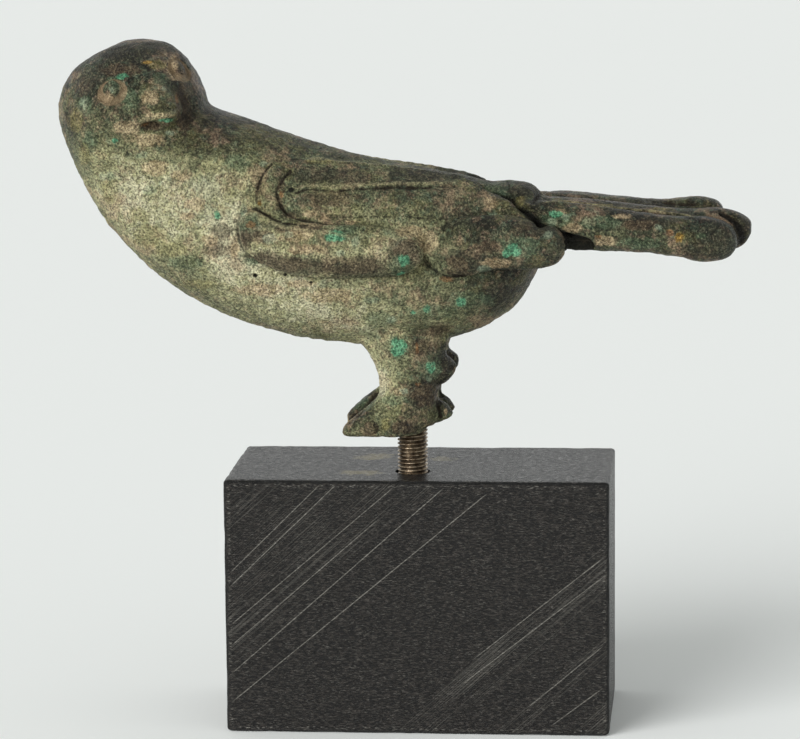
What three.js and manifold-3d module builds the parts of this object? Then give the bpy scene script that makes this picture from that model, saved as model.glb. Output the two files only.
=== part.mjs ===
// A small cast bronze falcon, held up by a threaded rod that is set in a black wooden block.
// Millimetres, +Z up. The origin is the centre of the block's underside. The bird's breast points
// to -X, its tail to +X, and its head is turned towards -Y, the side of the block's front face.
import * as THREE from 'three';
import { LoftGeometry } from 'three/addons/geometries/LoftGeometry.js';
import { RoundedBoxGeometry } from 'three/addons/geometries/RoundedBoxGeometry.js';
import { mergeVertices } from 'three/addons/utils/BufferGeometryUtils.js';
import Module from 'manifold-3d';

const wasm = await Module();
wasm.setup();

// Driving sizes of the stand
const block = { width: 50, depth: 25, height: 33.5, edge: 0.5 };
const rod = { x: -0.9, y: -5.3, radius: 2, pitch: 0.5, threadDepth: 0.31, intoBlock: 12, intoBird: 8 };
const standOff = 5.2;
const gap = 0.3;
// How far the thread runs on past the stretch that can be seen
const threadMargin = 1;

// Driving sizes of the bird, in its own frame: X from the rod's axis towards the tail,
// Y from the bird's middle plane, Z up from the soles. Turns are in degrees.
const head = { x: -35.95, z: 42.65, halfWidth: 9.7, halfLength: 9.4, halfHeight: 8.6, taper: 0.07 };
const headTurn = { about: 31, nod: -6, tilt: -14 };
const neck = { x: -37.5, y: -0.8, z: 39, halfLength: 7.2, halfWidth: 8.3, halfHeight: 6 };
const eye = { side: 35, up: 22.5, halfWidth: 2.1, halfHeight: 1.65, sunk: 0.45, pupil: 0.85 };
// How far the beak's root and the pupils reach into the head
const beakSunk = 2;
const pupilDepth = 0.7;
const wingLift = 0.9;
const groove = { depth: 0.45, width: 0.55 };
const side = { bar: 9.6, tip: 7.9, leg: 2.9, toe: 3.6, rearToe: 2.2 };
const farToeLift = 0.7;

// Each row is one section of a form: the point where it meets the upper edge, the point where it
// meets the lower edge, both seen from the side, and half of its thickness along Y.
const torso = [
  [-27.5, 44.0, -44.8, 43.5, 6.8],
  [-25.0, 42.3, -45.0, 39.5, 8.0],
  [-20.9, 40.9, -42.6, 32.8, 9.0],
  [-15.5, 39.0, -38.0, 25.7, 9.9],
  [-9.5, 37.1, -30.7, 19.1, 10.5],
  [-3.5, 35.6, -21.0, 14.4, 10.6],
  [2.5, 34.5, -10.5, 12.2, 10.2],
  [8.0, 33.4, 1.4, 11.9, 9.0],
  [12.0, 32.4, 9.3, 14.2, 7.6],
  [15.0, 31.2, 14.3, 18.5, 6.2],
  [17.4, 29.6, 17.4, 23.4, 4.6],
];
const saddle = [
  [9.0, 32.6, 9.0, 28.6, 3.2],
  [12.6, 33.0, 12.6, 28.6, 3.6],
  [15.6, 32.6, 15.6, 28.6, 3.6],
  [17.1, 31.4, 17.1, 28.8, 2.6],
];
const tailRoot = [
  [8.0, 32.0, 9.0, 25.0, 5.0],
  [17.0, 30.2, 17.0, 24.9, 5.2],
  [26.0, 29.2, 26.0, 25.0, 5.2],
  [34.0, 28.4, 34.0, 24.9, 4.6],
];
const feather = [
  [9.0, 31.0, 9.0, 25.6, 1.9],
  [17.0, 30.9, 17.0, 24.9, 2.4],
  [23.5, 30.3, 23.5, 24.6, 2.5],
  [30.0, 29.4, 30.0, 24.3, 2.5],
  [34.5, 28.9, 34.5, 23.8, 2.6],
  [38.2, 28.9, 37.4, 23.1, 2.6],
  [41.0, 28.0, 41.0, 23.7, 2.1],
  [42.0, 26.9, 42.1, 25.1, 1.2],
];
// The tail's three feathers: how much further and higher than the rows above each one's far end is
const feathers = [
  { y: -4.3, reach: 0, lift: 0 },
  { y: 0.1, reach: 1.8, lift: 1 },
  { y: 4.4, reach: -1.8, lift: 2.4 },
];
const featherSweep = 1.2;
const wingBar = [
  [-20.9, 29.2, -20.9, 26.0, 0.8],
  [-19.2, 30.3, -19.4, 24.0, 1.9],
  [-14.0, 29.9, -14.5, 22.2, 2.6],
  [-7.5, 28.7, -7.8, 21.9, 2.7],
  [-1.8, 27.4, -2.4, 22.1, 2.4],
  [1.2, 26.3, 0.9, 23.1, 1.7],
  [2.2, 25.4, 2.1, 24.2, 0.9],
];
const wingTip = [
  [3.4, 27.6, 3.4, 22.4, 1.0],
  [8.4, 28.5, 8.4, 22.2, 1.8],
  [13.6, 28.8, 13.6, 22.8, 2.3],
  [17.2, 28.3, 17.2, 23.2, 2.2],
  [19.6, 27.5, 19.4, 24.1, 1.6],
  [20.8, 26.5, 20.7, 25.3, 0.9],
];
const leg = [
  [5.6, 14.5, -8.4, 13.8, 3.0],
  [4.7, 11.4, -5.7, 11.4, 3.4],
  [4.0, 8.2, -4.3, 8.6, 3.4],
  [3.6, 5.4, -4.0, 6.2, 3.4],
  [3.4, 2.8, -4.6, 3.2, 3.6],
  [1.4, 0.4, -5.2, 0.2, 3.4],
];
const frontToe = [
  [-1.5, 0.2, -3.6, 5.6, 2.3],
  [-5.0, 0.0, -6.2, 3.6, 2.0],
  [-7.4, 0.0, -8.0, 2.1, 1.6],
  [-8.7, 0.0, -9.0, 0.9, 0.9],
];
const rearToe = [
  [2.2, 5.2, 0.5, 0.6, 2.0],
  [4.4, 4.4, 3.2, 1.5, 1.5],
  [5.6, 3.0, 5.2, 2.3, 0.8],
];
const heel = [
  [2.4, 11.0, 2.4, 6.9, 2.2],
  [4.7, 10.6, 4.4, 6.9, 1.8],
  [6.0, 9.6, 5.9, 8.4, 0.9],
];
// The beak's levels in the head's frame: height, half width, and how far it stands out of the head
const beak = [
  [5.2, 1.2, 0.0],
  [2.8, 2.2, 0.7],
  [0.8, 2.9, 1.5],
  [-0.9, 3.2, 1.9],
  [-2.2, 2.9, 1.5],
  [-3.2, 2.0, 0.5],
];

// How finely the curved surfaces are cut into flat faces
const torsoMesh = { rings: 24, points: 28 };
const legMesh = { rings: 7, points: 14 };
const wingMesh = { rings: 12, points: 12 };
const shortMesh = { rings: 5, points: 11 };
const skullFacets = [24, 16];
const neckFacets = [16, 10];
const eyeFacets = [10, 6];
const boreFacets = 20;
const threadFacets = 14;
const beakFacets = 6;
const edgeFacets = 2;
const curveSteps = 8;

const radians = THREE.MathUtils.degToRad;

// Turns a closed three.js geometry into a solid that can be joined and cut.
function solid(geometry) {
  const bare = new THREE.BufferGeometry();
  bare.setAttribute('position', geometry.getAttribute('position'));
  bare.setIndex(geometry.index);
  const merged = mergeVertices(bare, 1e-4);
  const vertProperties = new Float32Array(merged.attributes.position.array);
  const triVerts = new Uint32Array(merged.index.array);
  return new wasm.Manifold(new wasm.Mesh({ numProp: 3, vertProperties, triVerts }));
}

function geometryOf(shape) {
  const { vertProperties, triVerts } = shape.getMesh();
  const geometry = new THREE.BufferGeometry();
  geometry.setAttribute('position', new THREE.BufferAttribute(vertProperties, 3));
  geometry.setIndex(new THREE.BufferAttribute(triVerts, 1));
  const faceted = geometry.toNonIndexed();
  faceted.computeVertexNormals();
  return faceted;
}

function joined(solids) {
  return solids.reduce((whole, piece) => whole.add(piece));
}

// A form skinned over its sections. A smooth curve is led through the rows, and each section is an
// ellipse that spans the upper and lower edge and is halfThickness + swell wide to each side of y.
function form(rows, { rings, points, y = 0, swell = 0, shape = (row) => row }) {
  const shaped = rows.map(shape);
  const upper = new THREE.CatmullRomCurve3(shaped.map(([x, z]) => new THREE.Vector3(x, 0, z)));
  const lower = new THREE.CatmullRomCurve3(shaped.map(([, , x, z]) => new THREE.Vector3(x, 0, z)));
  const half = new THREE.CatmullRomCurve3(shaped.map((row, i) => new THREE.Vector3(i, row[4], 0)));
  const start = upper.getPoint(0).add(lower.getPoint(0));
  const run = upper.getPoint(1).add(lower.getPoint(1)).sub(start);
  const across = upper.getPoint(0).sub(lower.getPoint(0));
  const hand = Math.sign(run.cross(across).y);
  const sections = [];
  for (let i = 0; i <= rings; i += 1) {
    const along = i / rings;
    const top = upper.getPoint(along);
    const bottom = lower.getPoint(along);
    const middle = top.clone().add(bottom).multiplyScalar(0.5);
    const reach = top.clone().sub(middle);
    reach.setLength(reach.length() + swell);
    const halfThickness = half.getPoint(along).y + swell;
    const section = [];
    for (let j = 0; j < points; j += 1) {
      const angle = (2 * Math.PI * j) / points;
      const point = middle.clone().addScaledVector(reach, Math.cos(angle));
      point.y += y + hand * halfThickness * Math.sin(angle);
      section.push(point);
    }
    sections.push(section);
  }
  return solid(new LoftGeometry(sections, { capStart: true, capEnd: true }));
}

// An ovoid of three half sizes along X, Y and Z, which narrows a little towards its top.
function ovoid([halfX, halfY, halfZ], taper, facets) {
  const geometry = new THREE.SphereGeometry(1, ...facets);
  const places = geometry.getAttribute('position');
  for (let i = 0; i < places.count; i += 1) {
    const narrowed = 1 - taper * places.getZ(i);
    places.setXYZ(
      i,
      halfX * narrowed * places.getX(i),
      halfY * narrowed * places.getY(i),
      halfZ * places.getZ(i),
    );
  }
  return geometry;
}

// The head is a full ovoid with sunk eyes and a short beak, made facing -Y and then turned.
function makeHead() {
  const { about, nod, tilt } = headTurn;
  const turn = new THREE.Euler(radians(nod), radians(tilt), radians(about), 'ZXY');
  const place = new THREE.Matrix4().makeRotationFromEuler(turn);
  place.setPosition(head.x, 0, head.z);
  const sizes = [head.halfWidth, head.halfLength, head.halfHeight];
  let shape = solid(ovoid(sizes, head.taper, skullFacets).applyMatrix4(place));
  for (const hand of [-1, 1]) {
    const turned = radians(hand * eye.side);
    const up = radians(eye.up);
    const out = new THREE.Vector3(
      Math.sin(turned) * Math.cos(up),
      -Math.cos(turned) * Math.cos(up),
      Math.sin(up),
    );
    const narrowed = 1 - head.taper * out.z;
    const spot = new THREE.Vector3(
      head.halfWidth * narrowed * out.x,
      head.halfLength * narrowed * out.y,
      head.halfHeight * out.z,
    );
    const facing = new THREE.Quaternion().setFromUnitVectors(new THREE.Vector3(0, -1, 0), out);
    const disc = (halfWidth, thickness, halfHeight) => {
      const geometry = ovoid([halfWidth, thickness, halfHeight], 0, eyeFacets);
      geometry.applyQuaternion(facing);
      geometry.translate(spot.x, spot.y, spot.z);
      return solid(geometry.applyMatrix4(place));
    };
    shape = shape.subtract(disc(eye.halfWidth, eye.sunk, eye.halfHeight));
    shape = shape.add(disc(eye.pupil, pupilDepth, eye.pupil));
  }
  return shape.add(makeBeak(place));
}

// The beak is a rounded wedge: narrow between the eyes, widest and furthest out near its lower
// edge. Each level is half an ellipse that starts inside the head.
function makeBeak(place) {
  const sections = beak.map(([z, half, out]) => {
    const rise = z / head.halfHeight;
    const skin = head.halfLength * (1 - head.taper * rise) * Math.sqrt(1 - rise ** 2);
    const section = [];
    for (let i = 0; i <= beakFacets; i += 1) {
      const angle = Math.PI * (0.5 - i / beakFacets);
      const forward = (beakSunk + out) * Math.cos(angle);
      section.push(new THREE.Vector3(half * Math.sin(angle), beakSunk - skin - forward, z));
    }
    return section;
  });
  const geometry = new LoftGeometry(sections, { capStart: true, capEnd: true });
  return solid(geometry.applyMatrix4(place));
}

function makeNeck() {
  const geometry = ovoid([neck.halfLength, neck.halfWidth, neck.halfHeight], 0, neckFacets);
  return solid(geometry.translate(neck.x, neck.y, neck.z));
}

// A flat outline seen from the side, carried out from inside one flank to beyond it.
function sideSlab(outline, hand) {
  const inside = 2;
  const beyond = 18;
  const settings = { depth: beyond - inside, bevelEnabled: false, curveSegments: curveSteps };
  const geometry = new THREE.ExtrudeGeometry(outline, settings);
  geometry.rotateX(Math.PI / 2);
  geometry.translate(0, hand > 0 ? beyond : -inside, 0);
  return solid(geometry);
}

// An incised line: a narrow band that follows a curve, seen from the side.
function band(points) {
  const curve = new THREE.SplineCurve(points.map(([x, z]) => new THREE.Vector2(x, z)));
  const stepsPerSpan = 3;
  const steps = stepsPerSpan * (points.length - 1);
  const edges = [[], []];
  for (let i = 0; i <= steps; i += 1) {
    const at = curve.getPoint(i / steps);
    const along = curve.getTangent(i / steps);
    const across = new THREE.Vector2(-along.y, along.x).multiplyScalar(groove.width / 2);
    edges[0].push(at.clone().add(across));
    edges[1].unshift(at.clone().sub(across));
  }
  return new THREE.Shape([...edges[0], ...edges[1]]);
}

// The folded wing lies on the flank as a low plate: the body's own skin, swollen by the wing's
// lift inside the wing's outline. Incised lines part its rows of long feathers.
function makeWing(hand) {
  const outline = new THREE.Shape();
  outline.moveTo(-13.2, 36.5);
  outline.bezierCurveTo(-17.2, 36.5, -19.0, 34.2, -18.8, 30.9);
  outline.quadraticCurveTo(-16.0, 28.0, -9.5, 27.5);
  outline.lineTo(1.5, 26.0);
  outline.lineTo(16.0, 24.6);
  outline.lineTo(17.2, 28.2);
  outline.quadraticCurveTo(13.6, 32.0, 4.5, 34.6);
  outline.quadraticCurveTo(-4.0, 36.4, -13.2, 36.5);
  outline.closePath();
  const lowerLine = [
    [-14.1, 35.4], [-15.4, 34.0], [-16.2, 32.2], [-15.5, 30.4],
    [-13.8, 29.3], [-7.0, 29.3], [4.5, 29.0], [13.5, 28.6],
  ];
  const middleLine = [[-14.4, 33.1], [-3.9, 32.9], [8.3, 32.7]];
  const plate = form(torso, { ...torsoMesh, swell: wingLift }).intersect(sideSlab(outline, hand));
  const floor = form(torso, { ...torsoMesh, swell: wingLift - groove.depth });
  return [lowerLine, middleLine].reduce(
    (wing, line) => wing.subtract(sideSlab(band(line), hand).subtract(floor)),
    plate,
  );
}

// A feather's row, moved on by its share of the feather's reach and lift.
function drawnOut({ reach, lift }) {
  return ([upperX, upperZ, lowerX, lowerZ, half], i) => {
    const share = i / (feather.length - 1);
    const onward = reach * share;
    const rise = lift * share ** featherSweep;
    return [upperX + onward, upperZ + rise, lowerX + onward, lowerZ + rise, half];
  };
}

function makeBird() {
  const pieces = [
    form(torso, torsoMesh),
    makeHead(),
    makeNeck(),
    form(saddle, shortMesh),
    form(tailRoot, shortMesh),
    form(leg, legMesh),
  ];
  for (const each of feathers) {
    pieces.push(form(feather, { ...wingMesh, y: each.y, shape: drawnOut(each) }));
  }
  for (const hand of [-1, 1]) {
    const lifted = ([upperX, upperZ, lowerX, lowerZ, half]) => (
      [upperX, upperZ, lowerX, lowerZ + Math.max(hand, 0) * farToeLift, half]
    );
    pieces.push(makeWing(hand));
    pieces.push(form(wingBar, { ...wingMesh, y: hand * side.bar }));
    pieces.push(form(wingTip, { ...wingMesh, y: hand * side.tip }));
    pieces.push(form(leg, { ...legMesh, y: hand * side.leg }));
    pieces.push(form(frontToe, { ...shortMesh, y: hand * side.toe, shape: lifted }));
    pieces.push(form(rearToe, { ...shortMesh, y: hand * side.rearToe }));
    pieces.push(form(heel, { ...shortMesh, y: hand * side.leg }));
  }
  return joined(pieces).subtract(makeBore(rod.intoBird));
}

// A round hole's tool along Z, centred on the origin and reaching a depth to each side.
function makeBore(depth) {
  const radius = rod.radius + gap;
  const geometry = new THREE.CylinderGeometry(radius, radius, 2 * depth, boreFacets);
  return solid(geometry.rotateX(Math.PI / 2));
}

// The rod is plain where it is hidden and ringed with its thread where it can be seen.
function makeRod() {
  const low = block.height - rod.intoBlock + gap;
  const high = block.height + standOff + rod.intoBird - gap;
  const root = rod.radius - rod.threadDepth;
  const profile = [new THREE.Vector2(0, low), new THREE.Vector2(root, low)];
  const turns = Math.round((standOff + 2 * threadMargin) / rod.pitch);
  const start = block.height - threadMargin;
  for (let i = 0; i < turns; i += 1) {
    profile.push(new THREE.Vector2(root, start + i * rod.pitch));
    profile.push(new THREE.Vector2(rod.radius, start + (i + 0.5) * rod.pitch));
  }
  profile.push(new THREE.Vector2(root, start + turns * rod.pitch));
  profile.push(new THREE.Vector2(root, high), new THREE.Vector2(0, high));
  const geometry = new THREE.LatheGeometry(profile, threadFacets);
  return solid(geometry.rotateX(Math.PI / 2));
}

function makeBlock() {
  const box = new RoundedBoxGeometry(block.width, block.depth, block.height, edgeFacets, block.edge);
  box.translate(0, 0, block.height / 2);
  const bore = makeBore(rod.intoBlock).translate([rod.x, rod.y, block.height]);
  return solid(box).subtract(bore);
}

function named(name, shape, color, roughness, metalness) {
  const material = new THREE.MeshStandardMaterial({ color, roughness, metalness });
  const mesh = new THREE.Mesh(geometryOf(shape), material);
  mesh.name = name;
  return mesh;
}

const bird = named('falcon', makeBird(), 0x6b6a52, 0.7, 0.4);
bird.position.set(rod.x, rod.y, block.height + standOff);

const threadedRod = named('threaded_rod', makeRod(), 0x9a6a4c, 0.4, 0.9);
threadedRod.position.set(rod.x, rod.y, 0);

const mountBlock = named('mount_block', makeBlock(), 0x2b2a29, 0.55, 0);

const statuette = new THREE.Group();
statuette.add(bird, threadedRod, mountBlock);

export default statuette;
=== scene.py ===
"""A small cast bronze falcon on a threaded rod in a blackened wooden block: its looks in Blender."""

import itertools
import math

import bpy
import numpy as np
from mathutils import Matrix


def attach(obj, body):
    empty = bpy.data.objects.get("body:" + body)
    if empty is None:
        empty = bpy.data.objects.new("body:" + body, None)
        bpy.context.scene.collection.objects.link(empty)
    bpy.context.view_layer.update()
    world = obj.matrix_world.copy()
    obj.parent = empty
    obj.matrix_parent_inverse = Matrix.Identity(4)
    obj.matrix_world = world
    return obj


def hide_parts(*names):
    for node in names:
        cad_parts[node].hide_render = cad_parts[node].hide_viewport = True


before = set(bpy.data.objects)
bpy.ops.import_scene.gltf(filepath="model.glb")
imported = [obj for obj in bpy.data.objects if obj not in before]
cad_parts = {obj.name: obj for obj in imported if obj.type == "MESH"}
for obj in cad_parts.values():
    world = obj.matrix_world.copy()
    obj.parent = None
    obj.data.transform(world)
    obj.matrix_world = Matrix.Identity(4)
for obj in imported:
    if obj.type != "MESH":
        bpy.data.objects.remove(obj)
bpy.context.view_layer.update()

# Sizes in millimetres, as in the solids: X from breast to tail, Y away from the front, Z up
MM = 0.001
BLOCK_WIDTH, BLOCK_DEPTH, BLOCK_HEIGHT, BLOCK_EDGE = 50.0, 25.0, 33.5, 0.5
ROD_X, ROD_Y, ROD_RADIUS, ROD_PITCH, THREAD_DEPTH = -0.9, -5.3, 2.0, 0.5, 0.31
ROD_IN_BLOCK, ROD_IN_BIRD, BORE_GAP, STAND_OFF = 12.0, 8.0, 0.3, 5.2
BIRD_PLACE = np.array([ROD_X, ROD_Y, BLOCK_HEIGHT + STAND_OFF])

# The picture's frame and the view that it was taken from
PICTURE_WIDTH, PICTURE_HEIGHT = 800, 739
SENSOR_WIDTH = 36.0
FOCAL_PIXELS = 3800.0
VIEW_YAW, VIEW_PITCH, VIEW_ROLL = math.radians(-4.95), math.radians(9.34), math.radians(-0.51)
VIEW_TARGET = np.array([-1.85, -12.5, 48.14])
VIEW_DISTANCE = 487.4
PIXELS_PER_MM = 7.69
CLIP_NEAR, CLIP_FAR = 0.01, 20.0


# Helpers for the shapes

def view_axes():
    """The viewer's right, up and forward directions, turned by yaw, then pitch, then roll."""
    forward = np.array([
        math.sin(VIEW_YAW) * math.cos(VIEW_PITCH),
        math.cos(VIEW_YAW) * math.cos(VIEW_PITCH),
        -math.sin(VIEW_PITCH),
    ])
    level = np.array([math.cos(VIEW_YAW), -math.sin(VIEW_YAW), 0.0])
    upright = np.cross(level, forward)
    right = level * math.cos(VIEW_ROLL) + upright * math.sin(VIEW_ROLL)
    up = upright * math.cos(VIEW_ROLL) - level * math.sin(VIEW_ROLL)
    return right, up, forward


RIGHT, UP, FORWARD = view_axes()
VIEW_PLACE = VIEW_TARGET - FORWARD * VIEW_DISTANCE


def seen(points):
    """Where points of the bird appear in the picture, in pixels: each offset from the viewer is
    divided by its distance along the view."""
    offset = points + BIRD_PLACE - VIEW_PLACE
    depth = offset @ FORWARD
    across = PICTURE_WIDTH / 2 + FOCAL_PIXELS * (offset @ RIGHT) / depth
    down = PICTURE_HEIGHT / 2 - FOCAL_PIXELS * (offset @ UP) / depth
    return np.column_stack([across, down])


def soft_step(value):
    """0 below 0, 1 above 1, and a smooth rise between them: 3 v squared minus 2 v cubed."""
    share = np.clip(value, 0.0, 1.0)
    return share * share * (3.0 - 2.0 * share)


def nearness(points, place, reach, power=2):
    """1 at a place and less away from it: e to the minus distance over reach, raised to a power."""
    squared = np.sum(((points - place) / reach) ** 2, axis=1)
    return np.exp(-(squared ** (power / 2)))


# Keeps a span of no length from dividing by zero
SHORTEST_SPAN = 1e-6


def smooth_curve(points, shares):
    """A curve led through points. Each span is a cubic whose end slopes come from the spans on both
    sides, every span being as long in its parameter as the root of its length."""
    points = np.asarray(points, float)
    ends = 2 * points[0] - points[1], 2 * points[-1] - points[-2]
    padded = np.vstack([ends[0], points, ends[1]])
    place = np.asarray(shares) * (len(points) - 1)
    span = np.minimum(place.astype(int), len(points) - 2)
    t = (place - span)[:, None]
    before, start, end, after = (padded[span + step] for step in range(4))
    lengths = [
        np.maximum(np.linalg.norm(b - a, axis=1, keepdims=True), SHORTEST_SPAN) ** 0.5
        for a, b in ((before, start), (start, end), (end, after))
    ]
    slopes = []
    for (a, b, c), (first, second) in (
        ((before, start, end), lengths[:2]),
        ((start, end, after), lengths[1:]),
    ):
        slope = (b - a) / first - (c - a) / (first + second) + (c - b) / second
        slopes.append(slope * lengths[1])
    rise = 3 * (end - start) - 2 * slopes[0] - slopes[1]
    turn = 2 * (start - end) + slopes[0] + slopes[1]
    return start + t * (slopes[0] + t * (rise + t * turn))


def grid_faces(rows, columns):
    """The quads of a grid of rows and columns that is closed round each row."""
    row, column = np.meshgrid(np.arange(rows - 1), np.arange(columns), indexing="ij")
    beside = (column + 1) % columns
    corners = [
        row * columns + column,
        row * columns + beside,
        (row + 1) * columns + beside,
        (row + 1) * columns + column,
    ]
    return np.stack(corners, axis=-1).reshape(-1, 4)


def capped(skin):
    """A skin of rings whose two ends are drawn in to their middles. Returns points and quads."""
    first, last = (
        np.broadcast_to(ring.mean(axis=0), ring.shape)[None] for ring in (skin[0], skin[-1])
    )
    skin = np.concatenate([first, skin, last])
    return skin.reshape(-1, 3), grid_faces(*skin.shape[:2])


def form(table, side=0.0, rings=60, points=48, square=2.0):
    """A closed form skinned over its rows. A row holds the X and Z of the upper edge, the X and Z of
    the lower edge, and the half thickness. Curves are led through each, and a section is the curve
    |up| to the power square plus |out| to the power square equals 1, stretched between the edges."""
    table = np.asarray(table, float)
    along = np.linspace(0.0, 1.0, rings)
    upper = smooth_curve(table[:, 0:2], along)
    lower = smooth_curve(table[:, 2:4], along)
    half = smooth_curve(np.column_stack([np.arange(len(table)), table[:, 4]]), along)[:, 1]
    turn = np.linspace(0.0, 2 * math.pi, points, endpoint=False)
    up = np.sign(np.cos(turn)) * np.abs(np.cos(turn)) ** (2 / square)
    out = np.sign(np.sin(turn)) * np.abs(np.sin(turn)) ** (2 / square)
    middle, reach = (upper + lower) / 2, (upper - lower) / 2
    return capped(np.stack([
        middle[:, :1] + reach[:, :1] * up,
        side + half[:, None] * out,
        middle[:, 1:] + reach[:, 1:] * up,
    ], axis=-1))


def ovoid(centre, radii, turn=np.eye(3), taper=0.0, rings=40, points=64):
    """A closed ovoid: cosine and sine of two angles, stretched by three radii, narrowed in
    proportion to the height by the taper, and turned."""
    rise, swing = np.meshgrid(
        np.linspace(-math.pi / 2, math.pi / 2, rings),
        np.linspace(0.0, 2 * math.pi, points, endpoint=False),
        indexing="ij",
    )
    width = np.cos(rise) * (1.0 - taper * np.sin(rise))
    skin = np.stack([
        radii[0] * width * np.sin(swing),
        -radii[1] * width * np.cos(swing),
        radii[2] * np.sin(rise),
    ], axis=-1)
    return skin.reshape(-1, 3) @ turn.T + centre, grid_faces(rings, points)


def new_mesh(name, points, faces):
    """A mesh of the given points and faces, with calculated edges."""
    mesh = bpy.data.meshes.new(name)
    mesh.from_pydata(points, [], faces)
    mesh.update()
    return mesh


def add_field(mesh, name, values):
    """Stores one number for each point of a mesh, for the materials to read."""
    mesh.attributes.new(name, "FLOAT", "POINT").data.foreach_set("value", values.astype(np.float32))


def in_scene(name, data):
    """A new object that holds the data, linked to the scene."""
    made = bpy.data.objects.new(name, data)
    bpy.context.scene.collection.objects.link(made)
    return made


def shaped_by(mesh, kind, **settings):
    """A copy of a mesh as one modifier leaves it. The mesh itself is removed."""
    scratch = in_scene("scratch", mesh)
    modifier = scratch.modifiers.new(kind, kind)
    for name, value in settings.items():
        setattr(modifier, name, value)
    shaped = scratch.evaluated_get(bpy.context.evaluated_depsgraph_get())
    result = bpy.data.meshes.new_from_object(shaped)
    bpy.data.objects.remove(scratch)
    bpy.data.meshes.remove(mesh)
    return result


def fused(parts, voxel):
    """Closed forms that overlap, fused into one skin of small quads. Returns points and quads."""
    starts = np.cumsum([0] + [len(points) for points, _ in parts[:-1]])
    points = np.concatenate([points for points, _ in parts])
    faces = np.concatenate([faces + start for (_, faces), start in zip(parts, starts)])
    mesh = new_mesh("fused", points, faces)
    mesh = shaped_by(mesh, "REMESH", mode="VOXEL", voxel_size=voxel, adaptivity=0.0)
    points = np.empty(len(mesh.vertices) * 3, np.float32)
    mesh.vertices.foreach_get("co", points)
    quads = np.empty(len(mesh.polygons) * 4, np.int32)
    mesh.polygons.foreach_get("vertices", quads)
    bpy.data.meshes.remove(mesh)
    return points.reshape(-1, 3).astype(float), quads.reshape(-1, 4)


def neighbour_mean(values, quads):
    """For each point of a closed quad skin, the mean of values over the points joined to it."""
    here, there = quads.ravel(), np.roll(quads, -1, axis=1).ravel()
    sums = [np.bincount(here, values[there, axis], len(values)) for axis in range(values.shape[1])]
    return np.column_stack(sums) / np.bincount(here, minlength=len(values))[:, None]


def relaxed(points, quads, rounds):
    """Points moved again and again half way to the mean of their neighbours."""
    for _ in range(rounds):
        points = points + (neighbour_mean(points, quads) - points) / 2
    return points


def outward(points, quads):
    """The outward direction at each point: the mean of the crossed diagonals of its quads."""
    corner = points[quads]
    crossed = np.cross(corner[:, 2] - corner[:, 0], corner[:, 3] - corner[:, 1])
    total = np.column_stack([
        np.bincount(quads.ravel(), np.repeat(crossed[:, axis], 4), len(points)) for axis in range(3)
    ])
    return total / np.linalg.norm(total, axis=1, keepdims=True)


# The lattice of random values is turned, so that its rows don't show
LATTICE = 32
LATTICE_TURN = np.array(Matrix.Rotation(0.7, 3, (0.3, 0.5, 0.8)))


def lumps(points, size, seed):
    """Smooth random heights from -1 to 1: random values on a turned cubic lattice with cells of the
    given size, blended between the eight corners of the cell that holds each point."""
    values = np.random.default_rng(seed).uniform(-1.0, 1.0, (LATTICE,) * 3)
    place = points @ LATTICE_TURN / size
    cell = np.floor(place).astype(int)
    share = soft_step(place - cell)
    total = np.zeros(len(points))
    for corner in itertools.product((0, 1), repeat=3):
        weight = np.prod(np.where(corner, share, 1.0 - share), axis=1)
        at = (cell + corner) % LATTICE
        total += weight * values[at[:, 0], at[:, 1], at[:, 2]]
    return total


def lumpy(points, rows):
    """Lumps of several sizes added up. A row holds their height, their size and their seed."""
    return sum(height * lumps(points, size, seed) for height, size, seed in rows)


def line_distance(places, line, spans=5):
    """For places in the picture, the distance in millimetres to a smooth line led through pixels,
    and how far along the line the nearest point is, from 0 to 1."""
    steps = spans * (len(line) - 1)
    path = smooth_curve(line, np.linspace(0.0, 1.0, steps + 1))
    nearest, along = np.full(len(places), np.inf), np.zeros(len(places))
    for step in range(steps):
        start, run = path[step], path[step + 1] - path[step]
        share = np.clip((places - start) @ run / (run @ run), 0.0, 1.0)
        distance = np.linalg.norm(places - start - share[:, None] * run, axis=1)
        closer = distance < nearest
        nearest = np.where(closer, distance, nearest)
        along = np.where(closer, (step + share) / steps, along)
    return nearest / PIXELS_PER_MM, along


def inside(places, outline):
    """Whether places in the picture lie inside an outline of pixels: a ray to one side crosses it an
    odd number of times. No ray crosses a level edge."""
    odd = np.zeros(len(places), bool)
    for (ax, ay), (bx, by) in zip(outline, outline[1:] + outline[:1]):
        if ay != by:
            spans = (ay > places[:, 1]) != (by > places[:, 1])
            crossing = ax + (places[:, 1] - ay) / (by - ay) * (bx - ax)
            odd ^= spans & (places[:, 0] < crossing)
    return odd


def depth_inside(places, outline):
    """How far inside an outline places in the picture lie, in millimetres; below 0 outside it."""
    distance, _ = line_distance(places, outline + outline[:1], spans=2)
    return np.where(inside(places, outline), distance, -distance)


def covered(places, outline, edge):
    """1 inside an outline and 0 outside it, with a smooth change between that is as wide as the
    edge, in millimetres."""
    return soft_step(depth_inside(places, outline) / edge + 0.5)


# The falcon. Its own frame has X from the rod towards the tail, Y from the middle plane and Z up
# from the soles. The tables are the rows of the solids.

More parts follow.
